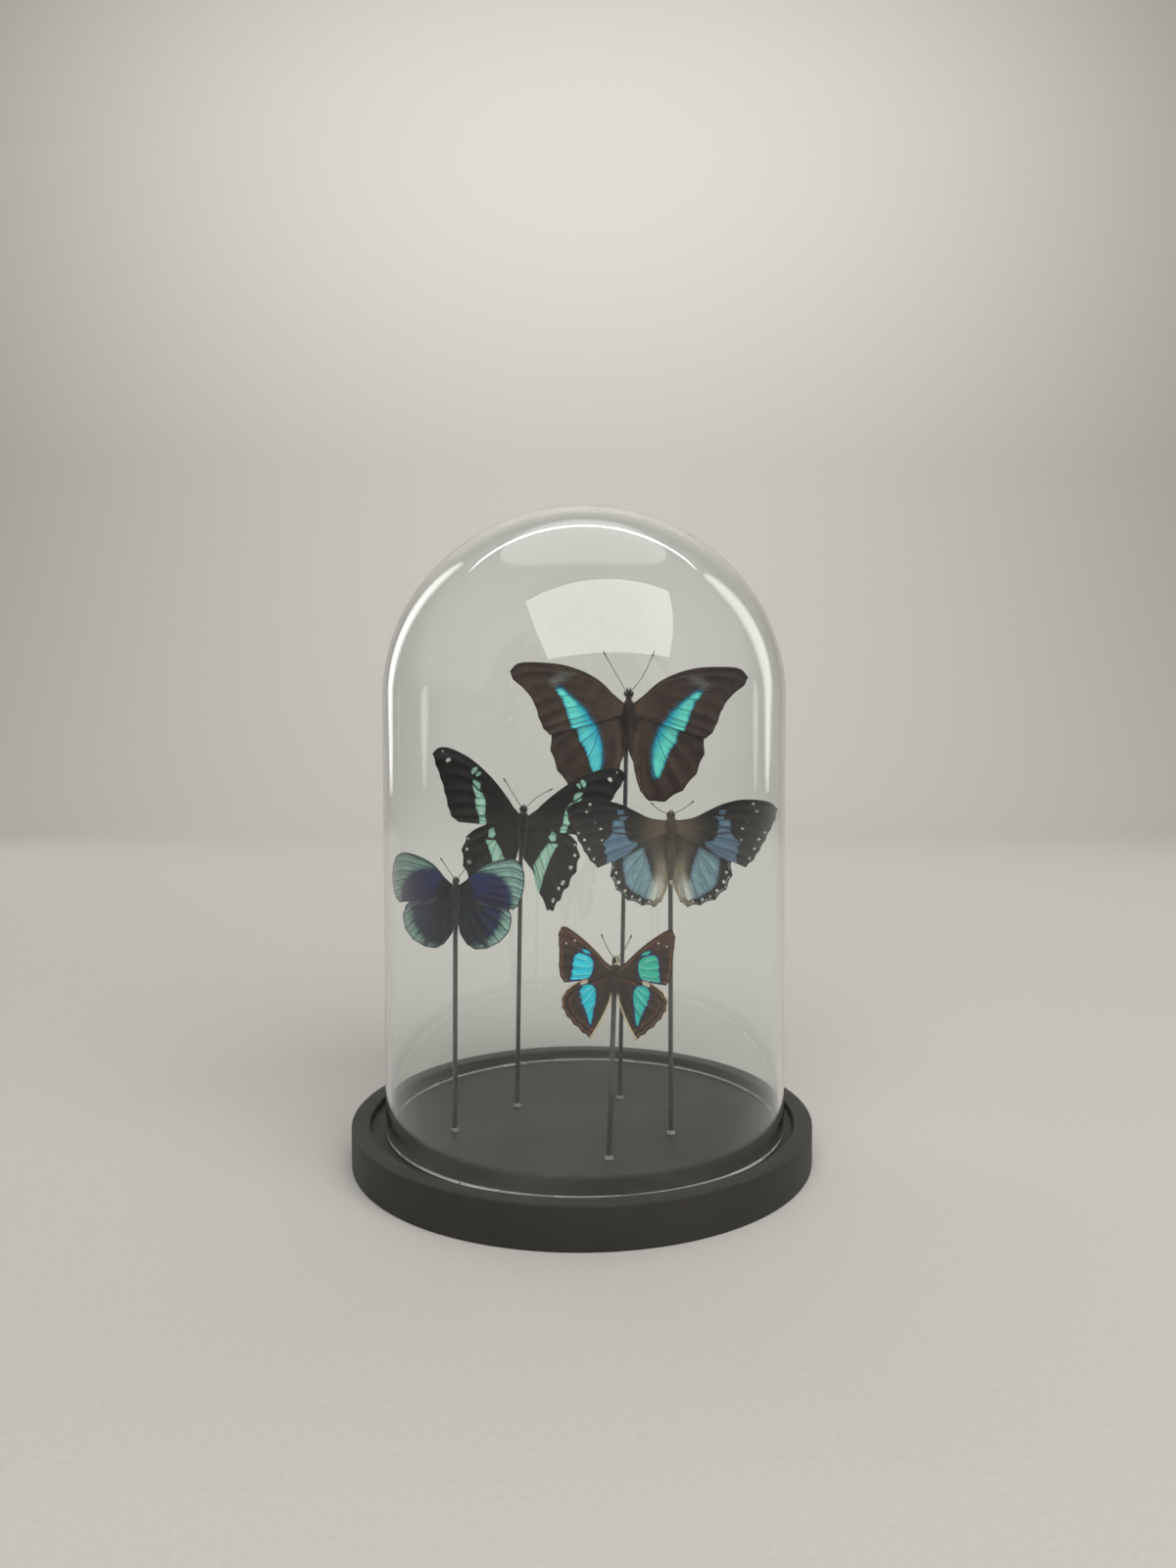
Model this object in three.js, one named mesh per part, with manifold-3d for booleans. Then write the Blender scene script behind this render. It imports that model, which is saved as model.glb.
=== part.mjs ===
// Five set butterflies on steel rods under a loose glass dome that stands in a round painted base.
// Millimetres, +Z up. Origin: centre of the base's underside. The butterflies' upper sides face -Y.
import * as THREE from 'three';
import { mergeVertices } from 'three/addons/utils/BufferGeometryUtils.js';
import Module from 'manifold-3d';

// ---- driving dimensions ----
const BASE_RADIUS = 100;
const BASE_HEIGHT = 17;
const BASE_EDGE = 0.9; // chamfer round the disc's two outer edges
const RECESS_RADIUS = 92;
const RECESS_DEPTH = 3.6;
const BASE_SIDES = 48;

const TOUCH_GAP = 0.3; // air kept between pieces that rest on or in each other

const DOME_RADIUS = 86.6;
const DOME_WALL = 2.2;
const DOME_TOP = 280;
const CROWN_HEIGHT = 82; // the ellipsoidal top of the dome, above its straight wall
const DOME_LIP = 0.7; // rounding of the ground rim
const DOME_CENTRE = [1.3, -1.4]; // the dome stands a little off centre in the wider recess
const DOME_SIDES = 36;
const CROWN_STEPS = 6;

const ROD_RADIUS = 1;
const ROD_SIDES = 8;
const ROD_PLUG = 6; // length of rod set into the base
const BEAD_RADIUS = 1.9; // bead of glue round the rod's foot
const BEAD_HEIGHT = 1.6;
const ROD_ABOVE_CENTRE = 1.2; // the rod ends this far above the middle of the thorax

const WING_THICKNESS = 0.6;
const FOREWING_LIFT = 0.5; // mid-plane of a forewing in front of the body's axis
const HINDWING_LIFT = -0.7; // a hindwing lies behind the forewing
const FOREWING_ROWS = [0, 0.26, 0.52, 0.78, 1];
const HINDWING_ROWS = [0, 0.36, 0.7, 1];
const COLUMNS_PER_LOBE = 2; // a vein's tip and the hollow after it

const BODY_SIDES = 8;
const LIMB_SIDES = 4;
const LEG_RADIUS = 0.3;
const ANTENNA_RADIUS = 0.28;
const ANTENNA_STEPS = 3;

const FLOOR = BASE_HEIGHT - RECESS_DEPTH;
const degrees = THREE.MathUtils.degToRad;

// ---- the five butterflies ----
// foot: where the rod stands. centre: x and z of the thorax. Angles in degrees: roll tips the right side
// down, yaw turns the right side away, dihedral brings both wing tips towards -Y, swing raises one wing.
// bow is the depth in millimetres of the wings' camber. thorax: half width, half depth and half length.
// head: radius and height of its centre. abdomen: radius and height of its end. notch: depth in
// millimetres of the hollows between the vein tips, lobes: how many there are.
// A wing is a right-hand one, in its own plane from the thorax centre: x outwards, z towards the head.
// costa is its front edge, margin its outer edge from tip to hind corner, inner its edge at the body.
const BUTTERFLIES = [
  {
    name: 'prepona',
    foot: [17.7, 25.6],
    centre: [21.6, 193],
    rodTop: 21.1,
    roll: 1.5,
    yaw: 0,
    dihedral: 2,
    bow: 1.6,
    swing: { left: [0, 0], right: [0, 0] },
    body: { thorax: [3, 3, 6], head: [1.9, 8.3], abdomen: [2, -20], legs: 4 },
    antennae: {
      left: [[-0.9, 9.2], [-5.4, 16.3], [-12.4, 28]],
      right: [[0.9, 9.2], [6.4, 17], [11.4, 28.4]],
    },
    forewing: {
      costa: [[3.5, 4.2], [14.3, 14.5], [28, 20.2], [42, 21.6], [50.6, 20.9], [54.5, 17.2]],
      margin: [
        [54.5, 17.2], [52.9, 13.6], [46.8, 8.2], [43, 2.4],
        [41, -3.4], [38.8, -8.2], [35.8, -11.2],
      ],
      inner: [[3.5, -1.6], [20, -6.6], [35.8, -11.2]],
      lobes: 6,
      notch: 0.3,
    },
    hindwing: {
      costa: [[3.4, 0.6], [16, -0.6], [28, -3.6], [35.4, -9.5]],
      margin: [
        [35.4, -9.5], [35.5, -17], [33.2, -24.8], [28.8, -32],
        [22.6, -37.6], [15.6, -41], [9.6, -39.8], [6.4, -36],
      ],
      inner: [[3.4, -4.4], [2.8, -12], [2.6, -20], [3.8, -28], [6.4, -36]],
      lobes: 6,
      notch: 0.9,
    },
    colour: 0x3a2c22,
  },
  {
    name: 'swallowtail',
    foot: [-29.8, 15.4],
    centre: [-26.2, 143.8],
    rodTop: -27.2,
    roll: 2.5,
    yaw: 10,
    dihedral: 2,
    bow: 1.4,
    swing: { left: [0, 2], right: [-9.5, -2] },
    body: { thorax: [2.5, 2.6, 5], head: [1.5, 5.6], abdomen: [1.9, -19], legs: 6 },
    antennae: {
      left: [[-0.7, 6.2], [-5, 12.6], [-9.6, 19.4]],
      right: [[0.7, 6.2], [6.4, 11.6], [13, 15.4]],
    },
    forewing: {
      costa: [
        [2.9, 3.4], [7.6, 10.7], [15.8, 20.2], [24.9, 27.6],
        [33.6, 31.7], [38.8, 31.9], [41.7, 29.2],
      ],
      margin: [[41.7, 29.2], [40.3, 24.6], [38, 18.8], [36, 12.6], [34.4, 6.6], [32.6, 2], [29.4, -0.6]],
      inner: [[2.9, -1.4], [16, -1.4], [29.4, -0.6]],
      lobes: 6,
      notch: 0.5,
    },
    hindwing: {
      costa: [[2.7, 0.8], [9.4, 0.4], [15.6, -1.6], [21.4, -4.4], [25.2, -7.8]],
      margin: [
        [25.2, -7.8], [26.9, -13], [26.4, -19], [24, -25.2],
        [21.2, -30.6], [18.6, -35.6], [16.2, -39.6], [13.8, -39.4],
      ],
      inner: [[2.7, -3.6], [4.2, -13], [6, -21.5], [8.4, -29.6], [11.4, -34], [13.8, -39.4]],
      lobes: 6,
      notch: 1.1,
    },
    colour: 0x1d1c1a,
  },
  {
    name: 'eggfly',
    foot: [37.7, -19.5],
    centre: [37.3, 144.2],
    rodTop: 37.4,
    roll: 0,
    yaw: 0,
    dihedral: 3,
    bow: 1.2,
    swing: { left: [0, 0], right: [0, 0] },
    body: { thorax: [2.5, 2.5, 4.6], head: [1.5, 5], abdomen: [1.8, -26.5], legs: 4 },
    antennae: {
      left: [[-0.7, 5.6], [-4.6, 7], [-8.2, 10.2]],
      right: [[0.7, 5.6], [5.2, 7.6], [9.6, 10.9]],
    },
    forewing: {
      costa: [
        [2.9, 2.8], [9.5, 4.2], [15.2, 7], [21, 9.7],
        [28, 11.5], [35, 11.5], [40.6, 10.4], [43.8, 7.6],
      ],
      margin: [
        [43.8, 7.6], [42.9, 3.4], [41, -0.8], [38.8, -5.2],
        [36.4, -9.6], [34, -13.4], [30.8, -16.6],
      ],
      inner: [[2.9, -2.6], [16, -10.2], [30.8, -16.6]],
      lobes: 6,
      notch: 0.4,
    },
    hindwing: {
      costa: [[2.7, -1], [12, -4.6], [20, -9.2], [25, -14.5]],
      margin: [
        [25, -14.5], [25.6, -19.4], [24, -24.2], [20.6, -28.6],
        [15.8, -31.6], [10.6, -33], [6.6, -33.4], [3.8, -31.4],
      ],
      inner: [[2.7, -5.2], [2.3, -14], [2.3, -23], [3.8, -31.4]],
      lobes: 6,
      notch: 0.9,
    },
    colour: 0x232026,
  },
  {
    name: 'asterope',
    foot: [-54.6, -15.3],
    centre: [-53, 117],
    rodTop: -53.5,
    roll: 0,
    yaw: -6,
    dihedral: -5,
    bow: 0.8,
    swing: { left: [3, 1], right: [-3, -1] },
    body: { thorax: [1.9, 2, 3.9], head: [1.25, 4.4], abdomen: [1.4, -20], legs: 4 },
    antennae: {
      left: [[-0.6, 5], [-3.4, 9.4], [-6.6, 14]],
      right: [[0.6, 5], [3.8, 9.2], [7, 13.8]],
    },
    forewing: {
      costa: [[2.3, 2.6], [8.5, 9.6], [13.4, 12.7], [18.9, 14.5], [24, 14.9], [27.3, 12.8]],
      margin: [
        [27.3, 12.8], [28.5, 9.2], [28.8, 5.4], [28.5, 1.6],
        [27.7, -1.9], [26.5, -4.7], [24.5, -6.6],
      ],
      inner: [[2.3, -1.6], [13.5, -4.6], [24.5, -6.6]],
      lobes: 6,
      notch: 0.1,
    },
    hindwing: {
      costa: [[2.1, 0], [10, -1.2], [17.4, -3.2], [22.3, -6.8]],
      margin: [
        [22.3, -6.8], [23.6, -11], [23, -15.6], [20.6, -19.6],
        [16.6, -22.7], [12, -24.4], [8.2, -24.4], [5, -22.6],
      ],
      inner: [[2.1, -4], [1.9, -11], [2.6, -17.6], [5, -22.6]],
      lobes: 6,
      notch: 0.15,
    },
    colour: 0x232a45,
  },
  {
    name: 'emperor',
    foot: [10.6, -47],
    centre: [13.2, 89.2],
    rodTop: 13.2,
    roll: 2,
    yaw: 0,
    dihedral: 4,
    bow: 0.8,
    swing: { left: [0, 0], right: [0, 0] },
    body: { thorax: [1.9, 2, 3.8], head: [1.25, 4.6], abdomen: [1.3, -12.4], legs: 4 },
    antennae: {
      left: [[-0.6, 5.2], [-3.6, 9.8], [-6, 15]],
      right: [[0.6, 5.2], [3.6, 9.8], [6, 15]],
    },
    forewing: {
      costa: [[2.3, 2.2], [7, 7.6], [11.5, 11.9], [15.8, 15.3], [19.6, 17.7], [21.8, 17.9]],
      margin: [
        [21.8, 17.9], [22.9, 15.2], [22.7, 11], [22.4, 6.8],
        [22.4, 2.6], [21.7, -1.6], [20, -4.2],
      ],
      inner: [[2.3, -1.4], [11, -2.8], [20, -4.2]],
      lobes: 6,
      notch: 0.2,
    },
    hindwing: {
      costa: [[2.1, 0.6], [8.5, -1.4], [14.5, -4], [19, -7.2]],
      margin: [
        [19, -7.2], [20.9, -10.8], [20.5, -14.4], [18.6, -17.8],
        [15.8, -21], [12.4, -24], [9.2, -26.8],
      ],
      inner: [[2.1, -3], [1.8, -8], [2, -12.8], [4.6, -19], [7.2, -23.8], [9.2, -26.8]],
      lobes: 6,
      notch: 0.5,
    },
    colour: 0x2e2118,
  },
];

// ---- closed meshes and booleans ----
const wasm = await Module();
wasm.setup();

// A closed triangle mesh from points and triangles of point numbers.
function meshFrom(points, triangles) {
  const geometry = new THREE.BufferGeometry();
  geometry.setAttribute('position', new THREE.Float32BufferAttribute(points.flat(), 3));
  geometry.setIndex(triangles.flat());
  return geometry;
}

// Merges shared vertices and drops the triangles that a pole or a fold has left without an area.
function welded(geometry) {
  const bare = geometry.clone();
  bare.deleteAttribute('normal');
  bare.deleteAttribute('uv');
  const merged = mergeVertices(bare, 1e-4);
  const index = merged.index.array;
  const kept = [];
  for (let i = 0; i < index.length; i += 3) {
    const [a, b, c] = [index[i], index[i + 1], index[i + 2]];
    if (a !== b && b !== c && c !== a) kept.push(a, b, c);
  }
  merged.setIndex(kept);
  return merged;
}

function toManifold(geometry) {
  const closed = welded(geometry);
  const vertProperties = new Float32Array(closed.attributes.position.array);
  const triVerts = new Uint32Array(closed.index.array);
  return new wasm.Manifold(new wasm.Mesh({ numProp: 3, vertProperties, triVerts }));
}

function fromManifold(solid) {
  const mesh = solid.getMesh();
  const geometry = new THREE.BufferGeometry();
  geometry.setAttribute('position', new THREE.BufferAttribute(new Float32Array(mesh.vertProperties), 3));
  geometry.setIndex(new THREE.BufferAttribute(new Uint32Array(mesh.triVerts), 1));
  return geometry;
}

function fuse(geometries) {
  const solids = geometries.map(toManifold);
  return fromManifold(solids.reduce((sum, solid) => sum.add(solid)));
}

function cut(geometry, tools) {
  const solids = tools.map(toManifold);
  return fromManifold(solids.reduce((rest, solid) => rest.subtract(solid), toManifold(geometry)));
}

// A solid of revolution about Z from [radius, z] points that start and end on the axis.
function revolve(profile, sides) {
  const points = profile.map(([radius, z]) => new THREE.Vector2(radius, z));
  const geometry = new THREE.LatheGeometry(points, sides);
  geometry.rotateX(Math.PI / 2);
  return welded(geometry);
}

function smooth(points) {
  const knots = points.map((p) => new THREE.Vector3(p[0], p[1], p[2] ?? 0));
  return new THREE.CatmullRomCurve3(knots, false, 'catmullrom', 0.5);
}

function material(colour, roughness, metalness = 0) {
  return new THREE.MeshStandardMaterial({ color: colour, roughness, metalness });
}

function named(name, geometry, finish) {
  const mesh = new THREE.Mesh(geometry, finish);
  mesh.name = name;
  return mesh;
}

// ---- base and dome ----
function baseDisc() {
  const disc = revolve([
    [0, 0],
    [BASE_RADIUS - BASE_EDGE, 0],
    [BASE_RADIUS, BASE_EDGE],
    [BASE_RADIUS, BASE_HEIGHT - BASE_EDGE],
    [BASE_RADIUS - BASE_EDGE, BASE_HEIGHT],
    [RECESS_RADIUS, BASE_HEIGHT],
    [RECESS_RADIUS, FLOOR],
    [0, FLOOR],
  ], BASE_SIDES);
  const sockets = BUTTERFLIES.map(({ foot }) => {
    const radius = ROD_RADIUS + TOUCH_GAP;
    const depth = ROD_PLUG + TOUCH_GAP;
    const socket = new THREE.CylinderGeometry(radius, radius, 2 * depth, ROD_SIDES);
    socket.rotateX(Math.PI / 2);
    socket.translate(foot[0], foot[1], FLOOR);
    return socket;
  });
  return named('base_disc', cut(disc, sockets), material(0x1b1b1d, 0.6));
}

function glassDome() {
  const foot = FLOOR + TOUCH_GAP;
  const shoulder = DOME_TOP - CROWN_HEIGHT;
  const crown = (radius, height) => {
    const points = [];
    for (let i = 0; i <= CROWN_STEPS; i += 1) {
      const angle = (i / CROWN_STEPS) * Math.PI / 2;
      points.push([radius * Math.cos(angle), shoulder + height * Math.sin(angle)]);
    }
    points[CROWN_STEPS][0] = 0;
    return points;
  };
  const inner = DOME_RADIUS - DOME_WALL;
  const profile = [
    ...crown(inner, CROWN_HEIGHT - DOME_WALL).reverse(),
    [inner, foot + DOME_LIP],
    [inner + DOME_LIP, foot],
    [DOME_RADIUS - DOME_LIP, foot],
    [DOME_RADIUS, foot + DOME_LIP],
    ...crown(DOME_RADIUS, CROWN_HEIGHT),
  ];
  const dome = named('glass_dome', revolve(profile, DOME_SIDES), material(0xe8eeee, 0.05));
  dome.position.set(DOME_CENTRE[0], DOME_CENTRE[1], 0);
  return dome;
}

// ---- rods ----
// A straight rod with the bead at its foot, from its socket up to the back of the thorax.
function rod({ name, foot, centre, rodTop }) {
  const from = new THREE.Vector3(foot[0], foot[1], FLOOR);
  const to = new THREE.Vector3(rodTop, foot[1], centre[1] + ROD_ABOVE_CENTRE);
  const length = from.distanceTo(to);
  const profile = [
    [0, -ROD_PLUG],
    [ROD_RADIUS, -ROD_PLUG],
    [ROD_RADIUS, TOUCH_GAP],
    [BEAD_RADIUS, TOUCH_GAP],
    [BEAD_RADIUS * 0.85, BEAD_HEIGHT * 0.6],
    [ROD_RADIUS, BEAD_HEIGHT],
    [ROD_RADIUS, length],
    [0, length],
  ];
  const mesh = named(`${name}_rod`, revolve(profile, ROD_SIDES), material(0x4a4a4c, 0.35, 0.9));
  mesh.position.copy(from);
  const lean = to.clone().sub(from).normalize();
  mesh.quaternion.setFromUnitVectors(new THREE.Vector3(0, 0, 1), lean);
  return mesh;
}

// ---- bodies ----
// A closed tube of elliptical rings stacked along Z, with a point at each end.
function ringStack(rings, sides) {
  const points = [];
  const triangles = [];
  rings.forEach(({ z, y, half }) => {
    for (let i = 0; i < sides; i += 1) {
      const angle = (i / sides) * 2 * Math.PI;
      points.push([half[0] * Math.cos(angle), y + half[1] * Math.sin(angle), z]);
    }
  });
  for (let r = 0; r + 1 < rings.length; r += 1) {
    for (let i = 0; i < sides; i += 1) {
      const [a, b] = [r * sides + i, r * sides + ((i + 1) % sides)];
      triangles.push([a, b, b + sides], [a, b + sides, a + sides]);
    }
  }
  const last = (rings.length - 1) * sides;
  const bottom = points.push([0, rings[0].y, rings[0].z - rings[0].half[0] * 0.4]) - 1;
  const top = points.push([0, rings.at(-1).y, rings.at(-1).z + rings.at(-1).half[0] * 0.4]) - 1;
  for (let i = 0; i < sides; i += 1) {
    const next = (i + 1) % sides;
    triangles.push([bottom, next, i], [top, last + i, last + next]);
  }
  return meshFrom(points, triangles);
}

// Abdomen, thorax and head in one stack. The belly stays level with the underside of the thorax.
function trunk({ thorax, head, abdomen }) {
  const [wide, deep, long] = thorax;
  const [headRadius, headCentre] = head;
  const [girth, tail] = abdomen;
  const waist = -long * 0.9;
  const along = (share) => waist + (tail - waist) * share;
  const ring = (z, width, depth = width) => ({ z, y: (deep - depth) * 0.5, half: [width, depth] });
  return ringStack([
    ring(along(1) + girth * 0.3, girth * 0.45),
    ring(along(0.82), girth * 0.8),
    ring(along(0.45), girth),
    ring(along(0.12), girth * 0.85),
    ring(-long * 0.62, wide * 0.84, deep * 0.84),
    ring(0, wide, deep),
    ring(long * 0.62, wide * 0.8, deep * 0.78),
    ring(long * 0.95, headRadius * 0.75),
    ring(headCentre, headRadius * 1.1, headRadius * 0.95),
    ring(headCentre + headRadius * 0.75, headRadius * 0.65),
  ], BODY_SIDES);
}

function tubeAlong(points, radius, steps) {
  const corners = [];
  for (let i = 0; i < LIMB_SIDES; i += 1) {
    const angle = (i / LIMB_SIDES) * 2 * Math.PI;
    corners.push(new THREE.Vector2(radius * Math.cos(angle), radius * Math.sin(angle)));
  }
  const section = new THREE.Shape(corners);
  return new THREE.ExtrudeGeometry(section, { steps, extrudePath: smooth(points), bevelEnabled: false });
}

// A feeler with its club, from [x, z] points in the plane of the wings.
function antenna(points, depth) {
  const path = points.map(([x, z]) => [x, depth, z]);
  const tube = tubeAlong(path, ANTENNA_RADIUS, ANTENNA_STEPS);
  const club = new THREE.SphereGeometry(ANTENNA_RADIUS * 1.9, LIMB_SIDES, 3);
  const tip = points.at(-1);
  club.translate(tip[0], depth, tip[1]);
  return [tube, club];
}

// Legs folded against the underside, in pairs from front to back and clear of the rod between them.
function legs({ thorax, legs: count }) {
  const [wide, deep, long] = thorax;
  const parts = [];
  for (let pair = 0; pair < count / 2; pair += 1) {
    const z = long * (0.35 - pair * 0.45);
    for (const side of [-1, 1]) {
      parts.push(tubeAlong([
        [side * wide * 0.72, deep * 0.3, z],
        [side * (wide + 1.6), deep + 1.4, z - 0.6],
        [side * (wide + 0.9), deep + 2, z - long * 0.9],
        [side * (wide + 0.6), deep + 1, z - long * 1.5],
      ], LEG_RADIUS, 3));
    }
  }
  return parts;
}

function body(insect) {
  const feelerDepth = (insect.body.thorax[1] - insect.body.head[0]) * 0.5;
  const parts = [
    trunk(insect.body),
    ...antenna(insect.antennae.left, feelerDepth),
    ...antenna(insect.antennae.right, feelerDepth),
    ...legs(insect.body),
  ];
  return named(`${insect.name}_body`, fuse(parts), material(insect.colour, 0.9));
}

// ---- wings ----
// A point of the wing: a patch between a straight root, the front edge, the margin and the inner edge.
// share runs from the front edge (0) to the inner edge (1), reach from the root (0) to the margin (1).
// The margin is hollowed between the tips of the veins.
function wingPoint({ costa, margin, inner, lobes, notch }, share, reach) {
  const outer = margin.getPoint(share);
  const outward = outer.clone().sub(costa.getPoint(0)).normalize();
  outer.addScaledVector(outward, -notch * Math.abs(Math.sin(Math.PI * share * lobes)));
  const chord = margin.getPoint(0).lerp(margin.getPoint(1), share);
  const point = costa.getPoint(reach).lerp(inner.getPoint(reach), share);
  return point.addScaledVector(outer.sub(chord), reach);
}

// A thin cambered plate over the wing's patch, mirrored for a left wing.
function wingPlate(wing, rows, side, lift, span, bow) {
  const edges = {
    costa: smooth(wing.costa),
    margin: smooth(wing.margin),
    inner: smooth(wing.inner),
    lobes: wing.lobes,
    notch: wing.notch,
  };
  const columns = wing.lobes * COLUMNS_PER_LOBE;
  const points = [];
  for (const face of [-0.5, 0.5]) {
    for (let c = 0; c <= columns; c += 1) {
      for (const reach of rows) {
        const { x, y: z } = wingPoint(edges, c / columns, reach);
        const part = THREE.MathUtils.clamp(x / span, 0, 1);
        const arch = 4 * bow * part * (1 - part);
        points.push([side * x, face * WING_THICKNESS - lift - arch, z]);
      }
    }
  }
  const triangles = [];
  const quad = (a, b, c, d) => {
    if (side > 0) triangles.push([a, b, c], [a, c, d]);
    else triangles.push([a, c, b], [a, d, c]);
  };
  const deep = rows.length;
  const layer = (columns + 1) * deep;
  const at = (c, r) => c * deep + r;
  for (let c = 0; c < columns; c += 1) {
    for (let r = 0; r + 1 < deep; r += 1) {
      const corners = [at(c, r), at(c + 1, r), at(c + 1, r + 1), at(c, r + 1)];
      quad(...corners);
      quad(...corners.map((i) => i + layer).reverse());
    }
    const root = [at(c, 0), at(c + 1, 0)];
    const tip = [at(c, deep - 1), at(c + 1, deep - 1)];
    quad(root[1], root[0], root[0] + layer, root[1] + layer);
    quad(tip[0], tip[1], tip[1] + layer, tip[0] + layer);
  }
  for (let r = 0; r + 1 < deep; r += 1) {
    const front = [at(0, r), at(0, r + 1)];
    const back = [at(columns, r), at(columns, r + 1)];
    quad(front[0], front[1], front[1] + layer, front[0] + layer);
    quad(back[1], back[0], back[0] + layer, back[1] + layer);
  }
  return meshFrom(points, triangles);
}

// One wing, turned in its own plane by its swing and lifted by the dihedral, both about the thorax centre.
function wing(insect, kind, sideName) {
  const side = sideName === 'right' ? 1 : -1;
  const fore = kind === 'forewing';
  const span = Math.max(...insect.forewing.costa.map(([x]) => x));
  const rows = fore ? FOREWING_ROWS : HINDWING_ROWS;
  const lift = fore ? FOREWING_LIFT : HINDWING_LIFT;
  const geometry = wingPlate(insect[kind], rows, side, lift, span, insect.bow);
  const mesh = named(`${insect.name}_${sideName}_${kind}`, geometry, material(insect.colour, 0.85));
  const swing = insect.swing[sideName][fore ? 0 : 1];
  mesh.rotation.set(0, -side * degrees(swing), -side * degrees(insect.dihedral), 'ZYX');
  return mesh;
}

function butterfly(insect) {
  const group = new THREE.Group();
  const behindRod = insect.body.thorax[1] + TOUCH_GAP + ROD_RADIUS;
  group.position.set(insect.centre[0], insect.foot[1] - behindRod, insect.centre[1]);
  group.rotation.set(0, degrees(insect.roll), degrees(insect.yaw), 'ZYX');
  group.add(body(insect));
  for (const sideName of ['left', 'right']) {
    group.add(wing(insect, 'forewing', sideName));
    group.add(wing(insect, 'hindwing', sideName));
  }
  return group;
}

const object = new THREE.Group();
object.add(baseDisc());
object.add(glassDome());
for (const insect of BUTTERFLIES) {
  object.add(rod(insect));
  object.add(butterfly(insect));
}

export default object;
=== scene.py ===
"""Five set butterflies on steel rods under a loose glass dome that stands in a round black base.

Metres, +Z up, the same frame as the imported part. The butterflies' upper sides face -Y.
"""

import math

import bpy
import numpy as np
from mathutils import Matrix, Vector


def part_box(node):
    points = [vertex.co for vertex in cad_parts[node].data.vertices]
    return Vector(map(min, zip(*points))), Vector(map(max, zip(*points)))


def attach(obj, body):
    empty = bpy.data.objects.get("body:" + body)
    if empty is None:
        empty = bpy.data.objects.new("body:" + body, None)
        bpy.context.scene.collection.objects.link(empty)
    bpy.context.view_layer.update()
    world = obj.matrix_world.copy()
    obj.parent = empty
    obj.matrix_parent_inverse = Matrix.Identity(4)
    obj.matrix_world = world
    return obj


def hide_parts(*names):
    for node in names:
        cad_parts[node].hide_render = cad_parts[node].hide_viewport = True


bl_info = {
    "name": "Butterflies in a Glass Dome",
    "version": (1, 0, 0),
    "blender": (4, 5, 0),
    "location": "3D View > Sidebar > Glass Dome",
    "description": "Builds five set butterflies under a glass dome around a packed part",
    "category": "Object",
}

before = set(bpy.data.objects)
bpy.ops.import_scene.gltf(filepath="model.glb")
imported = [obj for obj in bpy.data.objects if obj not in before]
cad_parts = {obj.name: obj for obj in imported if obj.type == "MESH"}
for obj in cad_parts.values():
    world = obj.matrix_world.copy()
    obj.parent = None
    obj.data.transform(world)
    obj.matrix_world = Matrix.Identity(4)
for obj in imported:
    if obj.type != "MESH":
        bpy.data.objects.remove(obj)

MM = 0.001
ROOT_BODY = "root"
FUR_SEED = 11


def linear(code):
    """The linear colour of an sRGB hex value, as red, green, blue and alpha."""
    parts = [int(code[i:i + 2], 16) / 255 for i in (1, 3, 5)]
    return tuple(p / 12.92 if p <= 0.04045 else ((p + 0.055) / 1.055) ** 2.4 for p in parts) + (1.0,)


# ---- the five butterflies, in millimetres and degrees ----
# foot, centre, rod_top, roll, yaw, dihedral, bow and swing place the insect as the solids do. A thorax is
# half its width, depth and length, a head its radius and height, an abdomen its radius and its tip's place,
# with pale scales as far as pale_tail from the tip. A notch is the depth of the hollows in a wing's margin.
# A wing is a right-hand one in its own plane from the thorax centre: x outwards, z towards the head. Its
# markings are in the same plane: a list of outlines for each one, and (x, z, radius) for round spots.
BUTTERFLIES = {}
BUTTERFLIES["prepona"] = {
    "foot": (17.7, 25.6), "centre": (21.6, 193.0), "rod_top": 21.1,
    "roll": 1.5, "yaw": 0, "dihedral": 2, "bow": 1.6, "swing": {"left": (0, 0), "right": (0, 0)},
    "thorax": (3.0, 3.0, 6.0), "head": (1.9, 8.3), "abdomen": (2.0, -20.0),
    "leg_pairs": 2,
    "antennae": {
        "left": [(-0.9, 9.2), (-5.4, 16.3), (-12.4, 28.0)],
        "right": [(0.9, 9.2), (6.4, 17.0), (11.4, 28.4)],
    },
}
BUTTERFLIES["prepona"]["forewing"] = {
    "costa": [(3.5, 4.2), (14.3, 14.5), (28, 20.2), (42, 21.6), (50.6, 20.9), (54.5, 17.2)],
    "margin": [(54.5, 17.2), (52.9, 13.6), (46.8, 8.2), (43, 2.4), (41, -3.4), (38.8, -8.2),
               (35.8, -11.2)],
    "inner": [(3.5, -1.6), (20, -6.6), (35.8, -11.2)],
    "notch": 0.3,
    "marks": {
        "band": [[(31.0, 10.4), (29.2, 9.0), (27.3, 7.3), (22.9, 3.6), (19.6, 0.6), (16.6, -4.4),
                  (13.8, -8), (13, -12), (24.5, -12), (25.0, -9.2), (26.4, -7.4), (26.6, -5.8),
                  (28.0, -2.1), (28.4, -1.6), (29.0, 0.9), (30.5, 5.2), (31.6, 5.8), (33.2, 8.3),
                  (33.4, 10.0)]],
        "outer": [[(-60, 60), (-60, -60), (24.5, -60), (24.5, -12), (25.0, -9.2), (26.4, -7.4),
                   (26.6, -5.8), (28.0, -2.1), (28.4, -1.6), (29.0, 0.9), (30.5, 5.2), (31.6, 5.8),
                   (33.2, 8.3), (34.2, 10.4), (36, 16), (38, 60)]],
        "haze": [[(24.8, 16.6), (29.0, 17.4), (33.0, 16.4), (36.4, 13.6), (34.4, 9.6), (32.4, 9.8),
                  (31.6, 12.4), (28.4, 14.6)]],
    },
}
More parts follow.
